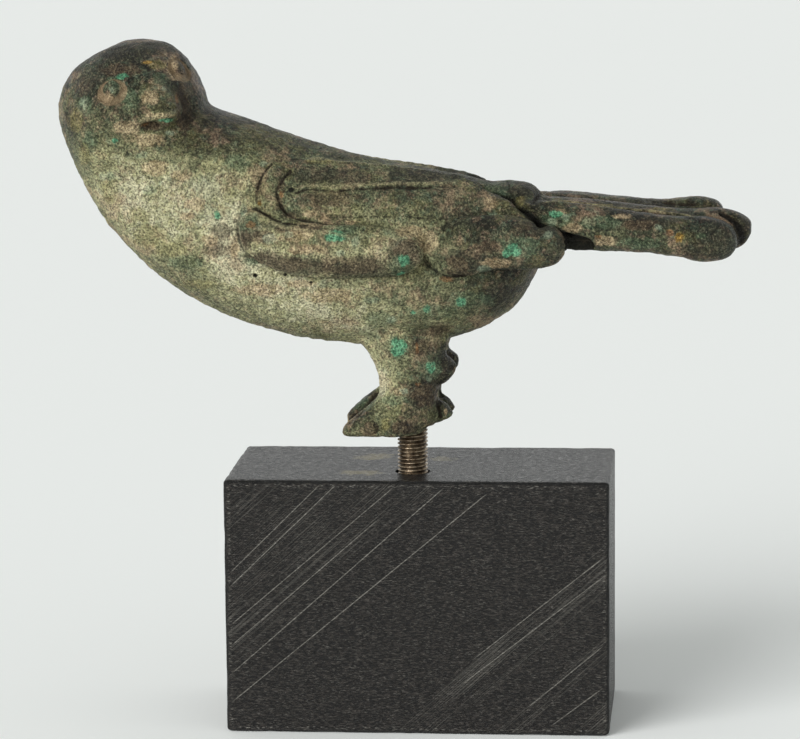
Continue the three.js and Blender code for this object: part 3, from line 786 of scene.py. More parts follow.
# Coloured patches of corrosion and soil on the side that is seen, some of the black and brown ones
# painted shade: centre across and down, half width and half height in pixels
PATCHES = {
    # Black patches that are painted shade: (742, 228) in the tail's end gap, (186, 104) right of the
    # beak, (155, 129) under the beak, (300, 262) and (366, 266) under the front lobe.
    "black": [
        (742, 228, 9, 18), (716, 244, 26, 19), (186, 104, 9, 34), (124, 54, 34, 8),
        (160, 48, 22, 7), (155, 129, 10, 3), (250, 120, 30, 5), (330, 178, 44, 8),
        (430, 178, 40, 6), (300, 262, 34, 9), (366, 266, 44, 9), (401, 252, 17, 11),
        (435, 383, 16, 22), (448, 360, 12, 14), (640, 203, 60, 5), (500, 296, 20, 16),
        (350, 405, 12, 16), (468, 258, 28, 10), (405, 428, 22, 7), (446, 405, 10, 10),
        (640, 222, 34, 8), (88, 82, 12, 16), (525, 190, 18, 7), (181, 65, 6, 7),
        (252, 230, 11, 13), (262, 257, 18, 7), (280, 227, 16, 3), (108, 72, 16, 7),
        (72, 120, 8, 18), (700, 250, 20, 9), (536, 232, 26, 8), (418, 395, 16, 14),
    ],
    # The brown patch at (150, 128) is painted shade under the beak.
    "brown": [
        (266, 254, 18, 7), (460, 270, 16, 6), (248, 240, 8, 10), (300, 231, 22, 4),
        (281, 186, 4, 9), (279, 203, 4, 9), (290, 216, 9, 4), (259, 188, 4, 12),
        (406, 253, 14, 11), (215, 248, 14, 9), (290, 260, 26, 8), (355, 262, 34, 8),
        (404, 427, 12, 7), (371, 428, 7, 7), (640, 225, 20, 6), (184, 112, 9, 26),
        (458, 262, 14, 8), (425, 395, 14, 12), (120, 70, 22, 7), (265, 236, 12, 6),
        (420, 348, 12, 10), (330, 200, 30, 8), (222, 232, 12, 9), (300, 246, 10, 6),
        (150, 128, 13, 4), (440, 330, 10, 8), (490, 246, 14, 5),
    ],
    "green": [
        (114, 85, 9, 9), (250, 222, 13, 10), (700, 236, 6, 3), (250, 262, 10, 4),
        (556, 220, 16, 10), (345, 236, 16, 7), (395, 400, 14, 5), (600, 222, 22, 7),
        (640, 243, 26, 6), (90, 140, 8, 10), (160, 78, 9, 7), (520, 246, 20, 9),
        (380, 320, 16, 9), (185, 262, 22, 7), (360, 405, 12, 7), (430, 368, 12, 12),
        (130, 100, 10, 12), (85, 105, 8, 12), (470, 300, 26, 9), (400, 262, 12, 9),
        (398, 347, 13, 13), (238, 162, 12, 8), (440, 312, 20, 8),
    ],
    "ochre": [
        (680, 237, 5, 7), (150, 236, 20, 12), (386, 424, 5, 6), (75, 120, 8, 12),
        (140, 215, 12, 8), (195, 285, 25, 5), (158, 66, 9, 5), (660, 210, 14, 3),
        (600, 206, 16, 2), (320, 163, 16, 3), (520, 200, 6, 4), (85, 155, 6, 12),
        (172, 250, 16, 8), (110, 190, 8, 14),
    ],
    "tan": [
        (196, 204, 12, 7), (180, 176, 10, 6), (310, 215, 8, 4), (236, 248, 4, 10),
        (300, 284, 16, 4), (411, 235, 18, 9), (426, 242, 12, 14), (491, 206, 7, 5),
        (560, 212, 6, 4), (572, 228, 10, 5), (606, 241, 12, 5), (622, 216, 10, 3),
        (497, 259, 16, 4), (160, 115, 16, 2.5), (150, 97, 10, 8), (126, 128, 14, 7),
        (300, 236, 14, 6), (324, 220, 6, 3), (350, 224, 6, 3), (172, 66, 5, 10),
        (177, 77, 6, 4), (155, 168, 14, 8), (210, 240, 10, 6), (585, 246, 10, 3),
        (445, 412, 1.5, 3), (105, 97, 8, 5), (310, 248, 20, 5), (150, 140, 16, 7),
        (260, 290, 30, 6), (188, 216, 8, 4), (234, 252, 4, 8), (330, 296, 30, 8),
    ],
    "rust": [
        (282, 194, 3, 4), (260, 203, 3, 3), (670, 233, 4, 4), (417, 349, 1.5, 7),
        (418, 384, 3, 2), (598, 237, 4, 2), (145, 126, 5, 3), (447, 279, 8, 3),
        (178, 98, 3, 6), (254, 226, 4, 3),
    ],
    "gold": [(679, 238, 4.5, 5.5), (260, 204, 2.5, 2.5), (147, 63, 5, 2)],
    "turquoise": [
        (336, 238, 10, 5), (398, 347, 9, 9), (515, 248, 7, 5), (461, 302, 5, 5),
        (427, 309, 4, 4), (403, 258, 5, 5), (400, 269, 4, 3), (507, 251, 4, 3),
        (556, 214, 7, 4), (122, 76, 6, 3), (166, 120, 8, 2), (115, 141, 3, 3),
        (217, 216, 3.5, 5), (431, 367, 5, 6), (413, 312, 3, 2),
    ],
    "mint": [
        (272, 238, 8, 5), (290, 235, 5, 3), (356, 243, 5, 4), (391, 319, 5, 4),
        (429, 379, 3, 4), (404, 391, 5, 3), (485, 264, 7, 3), (546, 239, 5, 3),
        (566, 217, 5, 4), (552, 222, 6, 4), (658, 227, 4, 3), (170, 133, 5, 2.5),
        (84, 103, 4, 7), (163, 89, 3, 3), (107, 176, 9, 5), (160, 183, 3, 3),
        (112, 90, 3, 3), (187, 79, 3, 3), (150, 190, 8, 5), (494, 216, 4, 2),
        (264, 164, 5, 3), (142, 155, 6, 4), (341, 252, 5, 3), (372, 300, 8, 4),
        (244, 210, 4, 6),
    ],
}


def crust_cover(points, normals):
    """How thickly pale crust covers each point: about 0 where the bronze is bare and 1 where it is
    hidden. It is thinner where the surface looks up, and more or less near each named area."""
    folded = np.column_stack([points[:, 0], np.abs(points[:, 1]), points[:, 2]])
    cover = CRUST_EVERYWHERE + CRUST_ON_TOP * soft_step(normals[:, 2] * TOP_STEEPNESS)
    for place, reach, amount in CRUST_AREAS:
        cover = cover + amount * nearness(folded, place, reach)
    return cover + lumpy(points, CRUST_LUMPS)


def patch_share(view, patches):
    """How far inside the nearest patch each point appears: 1 at its middle and 0.37 at its rim."""
    places, facing = view
    share = np.zeros(len(places))
    for across, down, half_width, half_height in patches:
        share = np.maximum(share, nearness(places, (across, down), (half_width, half_height)))
    return share * facing


def round_rod(radius, height, columns):
    """Rings about the rod's axis, with a radius and a height for each ring or each point of it."""
    turn = np.linspace(0.0, 2 * math.pi, columns, endpoint=False)
    return np.stack(np.broadcast_arrays(
        ROD_X + radius * np.cos(turn), ROD_Y + radius * np.sin(turn), height,
    ), axis=-1)


# How many sides the hole has, and how far below the soles its cutter starts, in mm
BORE_COLUMNS, BELOW_SOLES = 48, 1.0


def bored(mesh):
    """The bird's mesh with the hole for the rod cut into it, from below the soles to its end."""
    low, high = BIRD_PLACE[2] - BELOW_SOLES, BIRD_PLACE[2] + ROD_IN_BIRD
    rings = round_rod(ROD_RADIUS + BORE_GAP, np.array([[low], [high]]), BORE_COLUMNS)
    cutter = in_scene("cutter", new_mesh("cutter", *capped(rings)))
    mesh = shaped_by(mesh, "BOOLEAN", operation="DIFFERENCE", object=cutter, solver="EXACT")
    bpy.data.objects.remove(cutter)
    return mesh


BRONZE_TRIANGLES = 190_000
# What roughens the casting: height, size and seed of lumps. Crust is rougher than bare bronze: the
# heights are multiplied by the first value plus its cover, within the limits.
CAST_LUMPS = [(0.08, 4.0, 1), (0.07, 1.7, 2), (0.09, 0.8, 3), (0.07, 0.45, 4)]
ROUGH_BARE, ROUGH_LIMITS = 0.5, (0.4, 1.2)
# The material's hollows: how far a point lies under its neighbourhood as it is after these rounds
# of smoothing, in units of this many mm. The material darkens the hollows: painted shade, and dirt.
HOLLOW_ROUNDS, HOLLOW_UNIT = 6, 0.02


def cast_bird():
    """The bird before its carving: its forms fused, and smoothed as a worn casting is."""
    voxel, rounds, chin_rounds = ((0.2, 16, 120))
    points, quads = fused(bird_forms(), voxel)
    points = relaxed(points, quads, rounds)
    softer = relaxed(points, quads, chin_rounds)
    chin = nearness(points, CHIN, CHIN_REACH)
    return points + chin[:, None] * (softer - points), quads


def make_falcon():
    """The whole bird: cast, carved and roughened, with the fields that its material reads."""
    points, quads = cast_bird()
    normals = outward(points, quads)
    lift, fields = carve(points, normals)
    for place, reach, height in SWELLS:
        lift += height * nearness(points, place, reach)
    cover = crust_cover(points, normals)
    fields["crust"] = cover
    view = seen(points), towards_viewer(normals)
    for name, patches in PATCHES.items():
        fields[name] = patch_share(view, patches)
    rough = lumpy(points, CAST_LUMPS) * np.clip(ROUGH_BARE + cover, *ROUGH_LIMITS)
    points = relaxed(points + normals * (lift + rough)[:, None], quads, 1)
    sunk = relaxed(points, quads, HOLLOW_ROUNDS) - points
    fields["hollow"] = np.sum(sunk * outward(points, quads), axis=1) / HOLLOW_UNIT
    mesh = new_mesh("falcon_bronze", points + BIRD_PLACE, quads)
    for name, values in fields.items():
        add_field(mesh, name, values)
    triangles = 2 * len(quads)
    if triangles > BRONZE_TRIANGLES:
        mesh = shaped_by(mesh, "DECIMATE", ratio=BRONZE_TRIANGLES / triangles)
    mesh = bored(mesh)
    mesh.transform(Matrix.Scale(MM, 4))
    mesh.shade_smooth()
    return mesh


# The rod: a V thread wound round it from end to end
RINGS_PER_TURN, ROD_COLUMNS = 6, 56


def make_rod():
    """The rod. Its radius at each height and angle falls from the crest by the thread's depth times
    a wave of height over pitch less the part of a turn, and both ends are bevelled at 45 degrees."""
    low = BLOCK_HEIGHT - ROD_IN_BLOCK + BORE_GAP
    high = BLOCK_HEIGHT + STAND_OFF + ROD_IN_BIRD - BORE_GAP
    rings = int((high - low) / ROD_PITCH * RINGS_PER_TURN) + 1
    height = np.linspace(low, high, rings)[:, None]
    part_turn = np.linspace(0.0, 1.0, ROD_COLUMNS, endpoint=False)
    groove = 0.5 - 0.5 * np.cos(2 * math.pi * (height / ROD_PITCH - part_turn))
    from_end = np.minimum(height - low, high - height)
    radius = np.minimum(ROD_RADIUS - THREAD_DEPTH * groove, ROD_RADIUS - THREAD_DEPTH + from_end)
    points, faces = capped(round_rod(radius, height, ROD_COLUMNS))
    mesh = new_mesh("rod_thread", points * MM, faces)
    add_field(mesh, "groove", np.concatenate([groove[:1], groove, groove[-1:]]).ravel())
    mesh.shade_smooth()
    return mesh


# The block: rings that climb its outside, cross its top and go down the rod's hole. The last ones
# are at these shares of the hole's depth.
SIDE_STEPS, CLIMB_STEPS, CROSS_STEPS = 60, 60, 16
HOLE_SHARES = (0.04, 0.5, 1.0)
# Wear along the edges: how deep, how far from an edge, and height, size and seed of the worn spots
BLOCK_WEAR, EDGE_WEAR_REACH = 0.16, 0.6
WORN_SPOTS = [(1.0, 2.2, 31), (0.5, 0.9, 32)]
SHARP_ANGLE = math.radians(50)


def block_rings():
    """The sharp box as rings round the upright axis, and the rings of the rod's hole. Steps are
    narrower towards the edges: they follow the sine of an angle that grows evenly."""
    spread = np.sin(np.linspace(-math.pi / 2, math.pi / 2, SIDE_STEPS, endpoint=False))
    full = np.ones(SIDE_STEPS)
    climb = 0.5 + 0.5 * np.sin(np.linspace(-math.pi / 2, math.pi / 2, CLIMB_STEPS))
    cross = np.sin(np.linspace(0.0, math.pi / 2, CROSS_STEPS))
    outline = np.column_stack([
        np.concatenate([spread, full, -spread, -full]) * BLOCK_WIDTH / 2,
        np.concatenate([-full, spread, full, -spread]) * BLOCK_DEPTH / 2,
    ])
    axis = np.array([ROD_X, ROD_Y])
    from_rod = outline - axis
    away = from_rod / np.linalg.norm(from_rod, axis=1, keepdims=True)
    circle = axis + away * (ROD_RADIUS + BORE_GAP)

    def ring(places, height):
        return np.column_stack([places, np.full(len(places), height)])

    box = [ring(outline * share, 0.0) for share in cross[:-1]]
    box += [ring(outline, BLOCK_HEIGHT * share) for share in climb]
    box += [ring(circle + (outline - circle) * share, BLOCK_HEIGHT) for share in cross[-2::-1]]
    hole = [ring(circle, BLOCK_HEIGHT - ROD_IN_BLOCK * share) for share in HOLE_SHARES]
    hole.append(ring(axis + 0 * circle, BLOCK_HEIGHT - ROD_IN_BLOCK))
    return np.concatenate(box), np.concatenate(hole)


def make_block():
    """The block. A point of the sharp box is pulled to the edge radius from the nearest point of a
    box that is smaller by that radius, and worn back a little near the edges."""
    box, hole = block_rings()
    middle = np.array([0.0, 0.0, BLOCK_HEIGHT / 2])
    half = np.array([BLOCK_WIDTH, BLOCK_DEPTH, BLOCK_HEIGHT]) / 2
    core = np.clip(box - middle, BLOCK_EDGE - half, half - BLOCK_EDGE) + middle
    arm = box - core
    skin = core + arm / np.linalg.norm(arm, axis=1, keepdims=True) * BLOCK_EDGE
    # The second smallest of a point's distances from the box's sides is its distance from an edge
    from_edge = np.sort(half - np.abs(skin - middle), axis=1)[:, 1]
    worn = sum(
        height * np.maximum(lumps(skin, size, seed), 0.0) for height, size, seed in WORN_SPOTS
    )
    wear = BLOCK_WEAR * worn * np.exp(-((from_edge / EDGE_WEAR_REACH) ** 2))
    # The arm is longest at the edges and the corners, so they wear most
    skin = np.concatenate([skin - arm / BLOCK_EDGE * wear[:, None], hole])
    columns = 4 * SIDE_STEPS
    mesh = new_mesh("wooden_block", skin * MM, grid_faces(len(skin) // columns, columns))
    # Inside the hole there is no edge near
    add_field(mesh, "from_edge", np.concatenate([from_edge, np.full(len(hole), BLOCK_HEIGHT)]))
    mesh.shade_smooth()
    mesh.set_sharp_from_angle(angle=SHARP_ANGLE)
    return mesh


def place_piece(name, mesh, material, node):
    """Puts a mesh in the scene as a piece that stands for a solid and rides on the body."""
    piece = in_scene(name, mesh)
    mesh.materials.clear()
    mesh.materials.append(material)
    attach(piece, "root")
    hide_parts(node)


# Helpers for the materials

def colour(code):
    """A linear colour from an sRGB hex code."""
    parts = [int(code[start : start + 2], 16) / 255 for start in (1, 3, 5)]
    linear = [part / 12.92 if part <= 0.04045 else ((part + 0.055) / 1.055) ** 2.4 for part in parts]
    return (*linear, 1.0)


def add_node(tree, kind, inputs=None, **settings):
    """Adds a node. Its settings are set on it, and each input takes a value, a colour code, or the
    output that feeds it; a node given as an input feeds it from its first output."""
    made = tree.nodes.new("ShaderNode" + kind)
    for name, value in settings.items():
        setattr(made, name, value)
    for name, value in (inputs or {}).items():
        if isinstance(value, bpy.types.Node):
            value = value.outputs[0]
        if isinstance(value, bpy.types.NodeSocket):
            tree.links.new(value, made.inputs[name])
        else:
            made.inputs[name].default_value = colour(value) if isinstance(value, str) else value
    return made


def new_material(name):
    """An empty material and its tree of nodes."""
    material = bpy.data.materials.new(name)
    material.use_nodes = True
    material.node_tree.nodes.clear()
    return material, material.node_tree


# Sockets of the Mix node when it mixes colours
MIX_SHARE, MIX_UNDER, MIX_OVER, MIX_RESULT = 0, 6, 7, 2
# Noise keeps mostly to the middle of 0 to 1
NOISE_LOW, NOISE_HIGH = 0.3, 0.7


def place_in_mm(tree):
    """The object's own coordinates, which are in metres, in millimetres."""
    own = add_node(tree, "TexCoord").outputs["Object"]
    return add_node(tree, "VectorMath", {0: own, "Scale": 1 / MM}, operation="SCALE")


def cloudy(tree, place, size, seed, span=(0.0, 1.0), detail=4.0, harshness=0.7):
    """A cloudy pattern whose features are of a real size in millimetres: noise whose usual values
    are spread smoothly over a span."""
    noise = add_node(tree, "TexNoise", {
        "Vector": place, "W": seed, "Scale": 1.0 / size, "Detail": detail, "Roughness": harshness,
    }, noise_dimensions="4D")
    return add_node(tree, "MapRange", {
        "Value": noise, "From Min": NOISE_LOW, "From Max": NOISE_HIGH,
        "To Min": span[0], "To Max": span[1],
    }, interpolation_type="SMOOTHSTEP")


def deposit(tree, under, over, value, low, high, strength=1.0, blend="MIX"):
    """One colour laid over another where a value goes from low to high, up to a strength."""
    share = add_node(tree, "MapRange", {
        "Value": value, "From Min": low, "From Max": high, "To Max": strength,
    }, interpolation_type="SMOOTHSTEP")
    mix = add_node(tree, "Mix", {
        MIX_SHARE: share, MIX_UNDER: under, MIX_OVER: over,
    }, data_type="RGBA", blend_type=blend)
    return mix.outputs[MIX_RESULT]


def close_to(tree, value, middle, outer, inner):
    """1 where a value is within the inner distance of a middle, falling to 0 at the outer."""
    apart = add_node(tree, "Math", {0: value, 1: middle}, operation="SUBTRACT")
    return add_node(tree, "MapRange", {
        "Value": add_node(tree, "Math", {0: apart}, operation="ABSOLUTE"),
        "From Min": outer, "From Max": inner,
    }, interpolation_type="SMOOTHSTEP")


def finish_material(tree, settings, height, reach):
    """The shader, with a bump of the given reach in millimetres, joined to the output."""
    bump = add_node(tree, "Bump", {"Height": height, "Distance": reach * MM, "Strength": 1.0})
    shader = add_node(tree, "BsdfPrincipled", {**settings, "Normal": bump})
    add_node(tree, "OutputMaterial", {"Surface": shader})


# Patinated bronze: cast, long buried and then cleaned, so brown and green corrosion shows between
# patches of gritty pale crust. Bare metal shows nowhere, so it is a rough dielectric.
BRONZE_UNDER_CRUST = "#1c1b13"
# As the crust's cover rises from the first value to the second, this colour takes over
CRUST_TONES = [
    (0.0, 0.3, "#393b2a"), (0.25, 0.5, "#606246"), (0.45, 0.8, "#979570"), (0.75, 1.05, "#bbb797"),
]
# Earth and corrosion that tint the crust: colour, size in mm, seed, from and to value, strength
TINTS = [
    ("#8d8858", 6.0, 3.0, 0.5, 1.0, 0.3), ("#5c6c54", 4.5, 4.0, 0.55, 1.0, 0.35),
    ("#b09276", 4.0, 5.0, 0.5, 0.95, 0.4), ("#4a3f33", 4.0, 6.0, 0.65, 1.0, 0.35),
    ("#5e7560", 0.9, 7.0, 0.6, 1.0, 0.3), ("#a58a72", 0.7, 8.0, 0.65, 1.0, 0.3),
]
TINT_DETAIL = 5.0
# For each kind of patch: its darker colour, its lighter colour and how much it hides at most
PATCH_COLOURS = {
    "black": ("#1a1912", "#3b392b", 0.7), "brown": ("#352a20", "#5f4d3a", 0.6),
    "green": ("#35472f", "#60755a", 0.5), "ochre": ("#5f592f", "#8f8650", 0.4),
    "tan": ("#8a7656", "#bda785", 0.6), "rust": ("#5c3d24", "#94653a", 0.55),
    "mint": ("#74896f", "#a6b49a", 0.35), "gold": ("#6b531f", "#b08a3e", 0.75),
    "turquoise": ("#3a7656", "#63a17c", 0.85),
}
EYE_RING_COLOURS = ("#7d6a50", "#a38c6d")
# The worn ridge colour is wear and painted highlight; the dirt colour is dirt in pits and painted shade
# in gaps and hollows; the grime colour is grime in the lines and painted shade at the lobes' feet and
# beside the beak.
WORN_AND_HIGHLIT_RIDGE, PALE_GRAIN, DIRT_AND_SHADE, GRIME_AND_SHADE = "#a39b76", "#86826a", "#12110b", "#272016"
# What the grit multiplies the colour by, at its darkest and its lightest
GRIT_DARK, GRIT_LIGHT = 0.3, 2.2
# How much clumps add to the crust's cover at most, and where they turn a colour darker or lighter
CLUMP_COVER, CLUMP_TONES = 0.22, (-0.18, 0.18)
# Roughness where the bronze is bare and where it is covered, the relief of the grit in mm, and
# what a pit adds to it, as a share
BRONZE_SMOOTH, BRONZE_ROUGH, BRONZE_RELIEF, PIT_RELIEF = 0.38, 0.7, 0.3, -0.4


def falcon_material():
    """The bird's skin: crust by its cover, tints, painted shade in its hollows, patches, some of them
    painted shade, and ridges worn pale and painted as highlight, all of them brightened and darkened
    by grit, and last the eyes' rings and the dirt, grime and painted shade in the carving."""
    material, tree = new_material("patinated_bronze")
    place = place_in_mm(tree)
    fields = {
        name: add_node(tree, "Attribute", attribute_name=name).outputs["Fac"]
        for name in ("crust", "dirt_and_shade", "grime_and_shade", "worn", "hollow", "eye_ring", *PATCHES)
    }
    # Grit of about 0.15 mm, drawn nearly twice as coarse so that it shows
    grit = cloudy(tree, place, size=0.27, seed=1.0, detail=2.0, harshness=0.75)
    clumps = cloudy(tree, place, size=1.3, seed=2.0, span=(-CLUMP_COVER, CLUMP_COVER),
                    detail=6.0, harshness=0.8)
    rags = cloudy(tree, place, size=0.9, seed=10.0, span=(0.45, 1.55), detail=5.0, harshness=0.8)
    pits = cloudy(tree, place, size=0.5, seed=11.0, detail=2.0)
    ragged = {
        name: add_node(tree, "Math", {0: fields[name], 1: rags}, operation="MULTIPLY")
        for name in ("grime_and_shade", "worn", *PATCHES)
    }
    cover = add_node(tree, "Math", {0: fields["crust"], 1: clumps}, operation="ADD")

    base = BRONZE_UNDER_CRUST
    for low, high, tone in CRUST_TONES:
        base = deposit(tree, base, tone, cover, low, high)
    for tone, size, seed, low, high, strength in TINTS:
        tint = cloudy(tree, place, size, seed, detail=TINT_DETAIL)
        base = deposit(tree, base, tone, tint, low, high, strength)
    # Darker in the hollows: painted shade, and dirt.
    base = deposit(tree, base, DIRT_AND_SHADE, fields["hollow"], low=0.4, high=2.6, strength=0.65)
    # Some black and brown patches are painted shade.
    for name, (darker, lighter, strength) in PATCH_COLOURS.items():
        tone = deposit(tree, darker, lighter, clumps, *CLUMP_TONES)
        base = deposit(tree, base, tone, ragged[name], low=0.25, high=0.6, strength=strength)
    # Ridges painted pale: wear, and painted highlight along them.
    base = deposit(tree, base, WORN_AND_HIGHLIT_RIDGE, ragged["worn"], low=0.3, high=1.0, strength=0.45)

    light = add_node(tree, "MapRange", {"Value": grit, "To Min": GRIT_DARK, "To Max": GRIT_LIGHT})
    base = deposit(tree, base, light, cover, low=-1.5, high=0.5, blend="MULTIPLY")
    base = deposit(tree, base, PALE_GRAIN, grit, low=0.6, high=1.0, strength=0.3)
    base = deposit(tree, base, DIRT_AND_SHADE, pits, low=0.8, high=1.0, strength=0.5)
    ring = deposit(tree, *EYE_RING_COLOURS, clumps, *CLUMP_TONES)
    base = deposit(tree, base, ring, fields["eye_ring"], low=0.1, high=0.6, strength=0.7)
    # Grime in the cut lines, and painted shade at the lobes' feet and beside the beak.
    base = deposit(tree, base, GRIME_AND_SHADE, ragged["grime_and_shade"], low=0.15, high=0.8, strength=0.88)
    base = deposit(tree, base, DIRT_AND_SHADE, fields["dirt_and_shade"], low=0.15, high=0.65, strength=0.93)

    raised = add_node(tree, "Math", {0: grit, 1: clumps}, operation="ADD")
    sunk = add_node(tree, "Math", {0: pits, 1: PIT_RELIEF}, operation="MULTIPLY")
    height = add_node(tree, "Math", {0: raised, 1: sunk}, operation="ADD")
    finish_material(tree, {
        "Base Color": base,
        "Roughness": add_node(tree, "MapRange", {
            "Value": cover, "To Min": BRONZE_SMOOTH, "To Max": BRONZE_ROUGH,
        }),
        "Specular IOR Level": 0.25,
    }, height, BRONZE_RELIEF)
    return material


# Copper-brown bronze rod: the thread is cut bright and has dulled since, and its grooves are painted
# darker as shade
ROD_BRIGHT, ROD_DULL, ROD_GROOVE_SHADE = "#a59681", "#5f5040", "#1d1712"
# Roughness where it is bright and where it is dull, and the relief of its fine scratches in mm
ROD_SMOOTH, ROD_ROUGH, ROD_RELIEF = 0.26, 0.5, 0.01


def rod_material():
    """The rod's metal, more matt where it is dull, with painted shade in the thread's grooves."""
    material, tree = new_material("rod_metal")
    place = place_in_mm(tree)
    dullness = cloudy(tree, place, size=1.0, seed=1.0, detail=3.0)
    groove = add_node(tree, "Attribute", attribute_name="groove").outputs["Fac"]
    base = deposit(tree, ROD_BRIGHT, ROD_DULL, dullness, low=0.2, high=0.9)
    # The thread's grooves are painted darker: painted shade.
    finish_material(tree, {
        "Base Color": deposit(tree, base, ROD_GROOVE_SHADE, groove, low=0.4, high=1.0, strength=0.85),
        "Metallic": 1.0,
        "Roughness": add_node(tree, "MapRange", {
            "Value": dullness, "To Min": ROD_SMOOTH, "To Max": ROD_ROUGH,
        }),
    }, cloudy(tree, place, size=0.3, seed=2.0), ROD_RELIEF)
    return material


# Blackened hardwood: sawn, sanded, stained black and rubbed with wax. Fine pores run level, and long
# open vessels climb to the right across the front.
WOOD_DARK, WOOD_LIGHT, WOOD_OPEN, WOOD_EDGE = "#050404", "#35312d", "#98958c", "#080807"
# Roughness in the pores and where the wax lies, and the relief of the grain in mm
WOOD_ROUGH, WOOD_WAXED, WOOD_RELIEF = 0.5, 0.22, 0.08
# How far pores and vessels stretch along X, Y and Z, in mm
PORE_STRETCH, VESSEL_STRETCH = (0.6, 0.3, 0.15), (25.0, 0.15, 0.15)
VESSEL_RISE = math.radians(42)
# Where fine vessels crowd: the middle and half width of each band across the vessels, in mm, and
# how many there are between the bands
VESSEL_BANDS = [(31.0, 13.0), (0.2, 3.6), (-7.2, 2.2), (-14.5, 2.5)]
VESSELS_ELSEWHERE = 0.15
# The plainest vessels on the front: where each starts and ends, X and Z in mm
VESSELS = [
    ((-24.6, 3.7), (9.6, 32.3)), ((-24.6, 7.5), (4.0, 33.0)), ((-24.6, 19.1), (-10.0, 33.3)),
    ((-24.6, 20.9), (-12.0, 33.4)), ((5.2, 6.2), (24.6, 21.5)), ((14.0, 3.4), (24.6, 12.4)),
    ((-24.6, 11.2), (-4.5, 28.8)), ((7.0, 9.8), (24.6, 24.0)), ((-24.6, 14.0), (-2.5, 33.0)),
    ((17.0, 1.0), (24.6, 6.8)),
]
# Their half width and how long they fade at an end in mm, and how bright they are between glints
VESSEL_WIDTH, VESSEL_END, VESSEL_DULL = 0.12, 1.5, 0.3
# Vessels are absent down to the first distance under the top and full from the second, in mm. The
# plainest are full down to the first distance behind the front and absent from the second.
TOP_SKIN, FRONT_SKIN = (0.1, 0.3), (0.05, 0.2)
# Old varnish on the top, left of the rod: centre X, Y and half sizes in mm
STAINS = [((-7.4, -6.6), (3.0, 1.9)), ((-6.8, 4.6), (2.9, 2.6)), ((2.2, 3.6), (2.0, 2.2))]
STAIN_COLOUR = "#6f6542"
# Distances from an edge in mm: the black band is full up to the first and gone at the second, and
# the pale specks beside it are full from the third, and fade from the fourth to the fifth
EDGE_BLACK, EDGE_BARE, SPECKS_FULL, SPECKS_FADE, SPECKS_END = 0.2, 0.42, 0.5, 0.75, 0.95


def with_vessels(tree, base, place, specks):
    """The wood with the plainest vessels drawn on it: each a straight line on the front, which
    glints here and there."""
    front = add_node(tree, "MapRange", {
        "Value": add_node(tree, "SeparateXYZ", {0: place}).outputs["Y"],
        "From Min": FRONT_SKIN[1] - BLOCK_DEPTH / 2, "From Max": FRONT_SKIN[0] - BLOCK_DEPTH / 2,
    })
    glints = add_node(tree, "MapRange", {"Value": specks, "To Min": VESSEL_DULL})
    front = add_node(tree, "Math", {0: front, 1: glints}, operation="MULTIPLY")
    for start, end in VESSELS:
        run = np.array([end[0] - start[0], end[1] - start[1]])
        length = float(np.linalg.norm(run))
        way_x, way_z = run / length
        along = add_node(tree, "VectorMath", {
            0: place, 1: (way_x, 0.0, way_z),
        }, operation="DOT_PRODUCT").outputs["Value"]
        across = add_node(tree, "VectorMath", {
            0: place, 1: (-way_z, 0.0, way_x),
        }, operation="DOT_PRODUCT").outputs["Value"]
        middle = start[0] * way_x + start[1] * way_z + length / 2
        offset = start[1] * way_x - start[0] * way_z
        near = close_to(tree, across, offset, VESSEL_WIDTH, 0.0)
        within = close_to(tree, along, middle, length / 2, length / 2 - VESSEL_END)
        vessel = add_node(tree, "Math", {0: near, 1: within}, operation="MULTIPLY")
        vessel = add_node(tree, "Math", {0: vessel, 1: front}, operation="MULTIPLY")
        base = deposit(tree, base, WOOD_OPEN, vessel, low=0.0, high=1.0, strength=0.65)
    return base


def with_stains(tree, base, place):
    """The wood with ragged oval stains on its top."""
    for (middle_x, middle_y), (half_x, half_y) in STAINS:
        local = add_node(tree, "Mapping", {
            "Vector": place, "Location": (middle_x, middle_y, BLOCK_HEIGHT),
            "Scale": (half_x, half_y, 1.0),
        }, vector_type="TEXTURE")
        reach = add_node(tree, "VectorMath", {0: local}, operation="LENGTH").outputs["Value"]
        rags = cloudy(tree, place, size=1.5, seed=6.0, span=(-0.5, 0.5))
        ragged = add_node(tree, "Math", {0: reach, 1: rags}, operation="ADD")
        base = deposit(tree, base, STAIN_COLOUR, ragged, low=1.0, high=0.5, strength=0.75)
    return base


def with_edges(tree, base, specks):
    """The wood with a black band along each edge, and pale rubbed specks beside it."""
    from_edge = add_node(tree, "Attribute", attribute_name="from_edge").outputs["Fac"]
    base = deposit(tree, base, WOOD_EDGE, from_edge, EDGE_BARE, EDGE_BLACK, strength=0.9)
    beside = add_node(tree, "MapRange", {
        "Value": from_edge, "From Min": EDGE_BARE, "From Max": SPECKS_FULL,
    }, interpolation_type="SMOOTHSTEP")
    rubbed = add_node(tree, "Math", {0: beside, 1: specks}, operation="MULTIPLY")
    pale = deposit(tree, base, WOOD_OPEN, rubbed, low=0.6, high=1.0, strength=0.35)
    return deposit(tree, base, pale, from_edge, SPECKS_END, SPECKS_FADE)


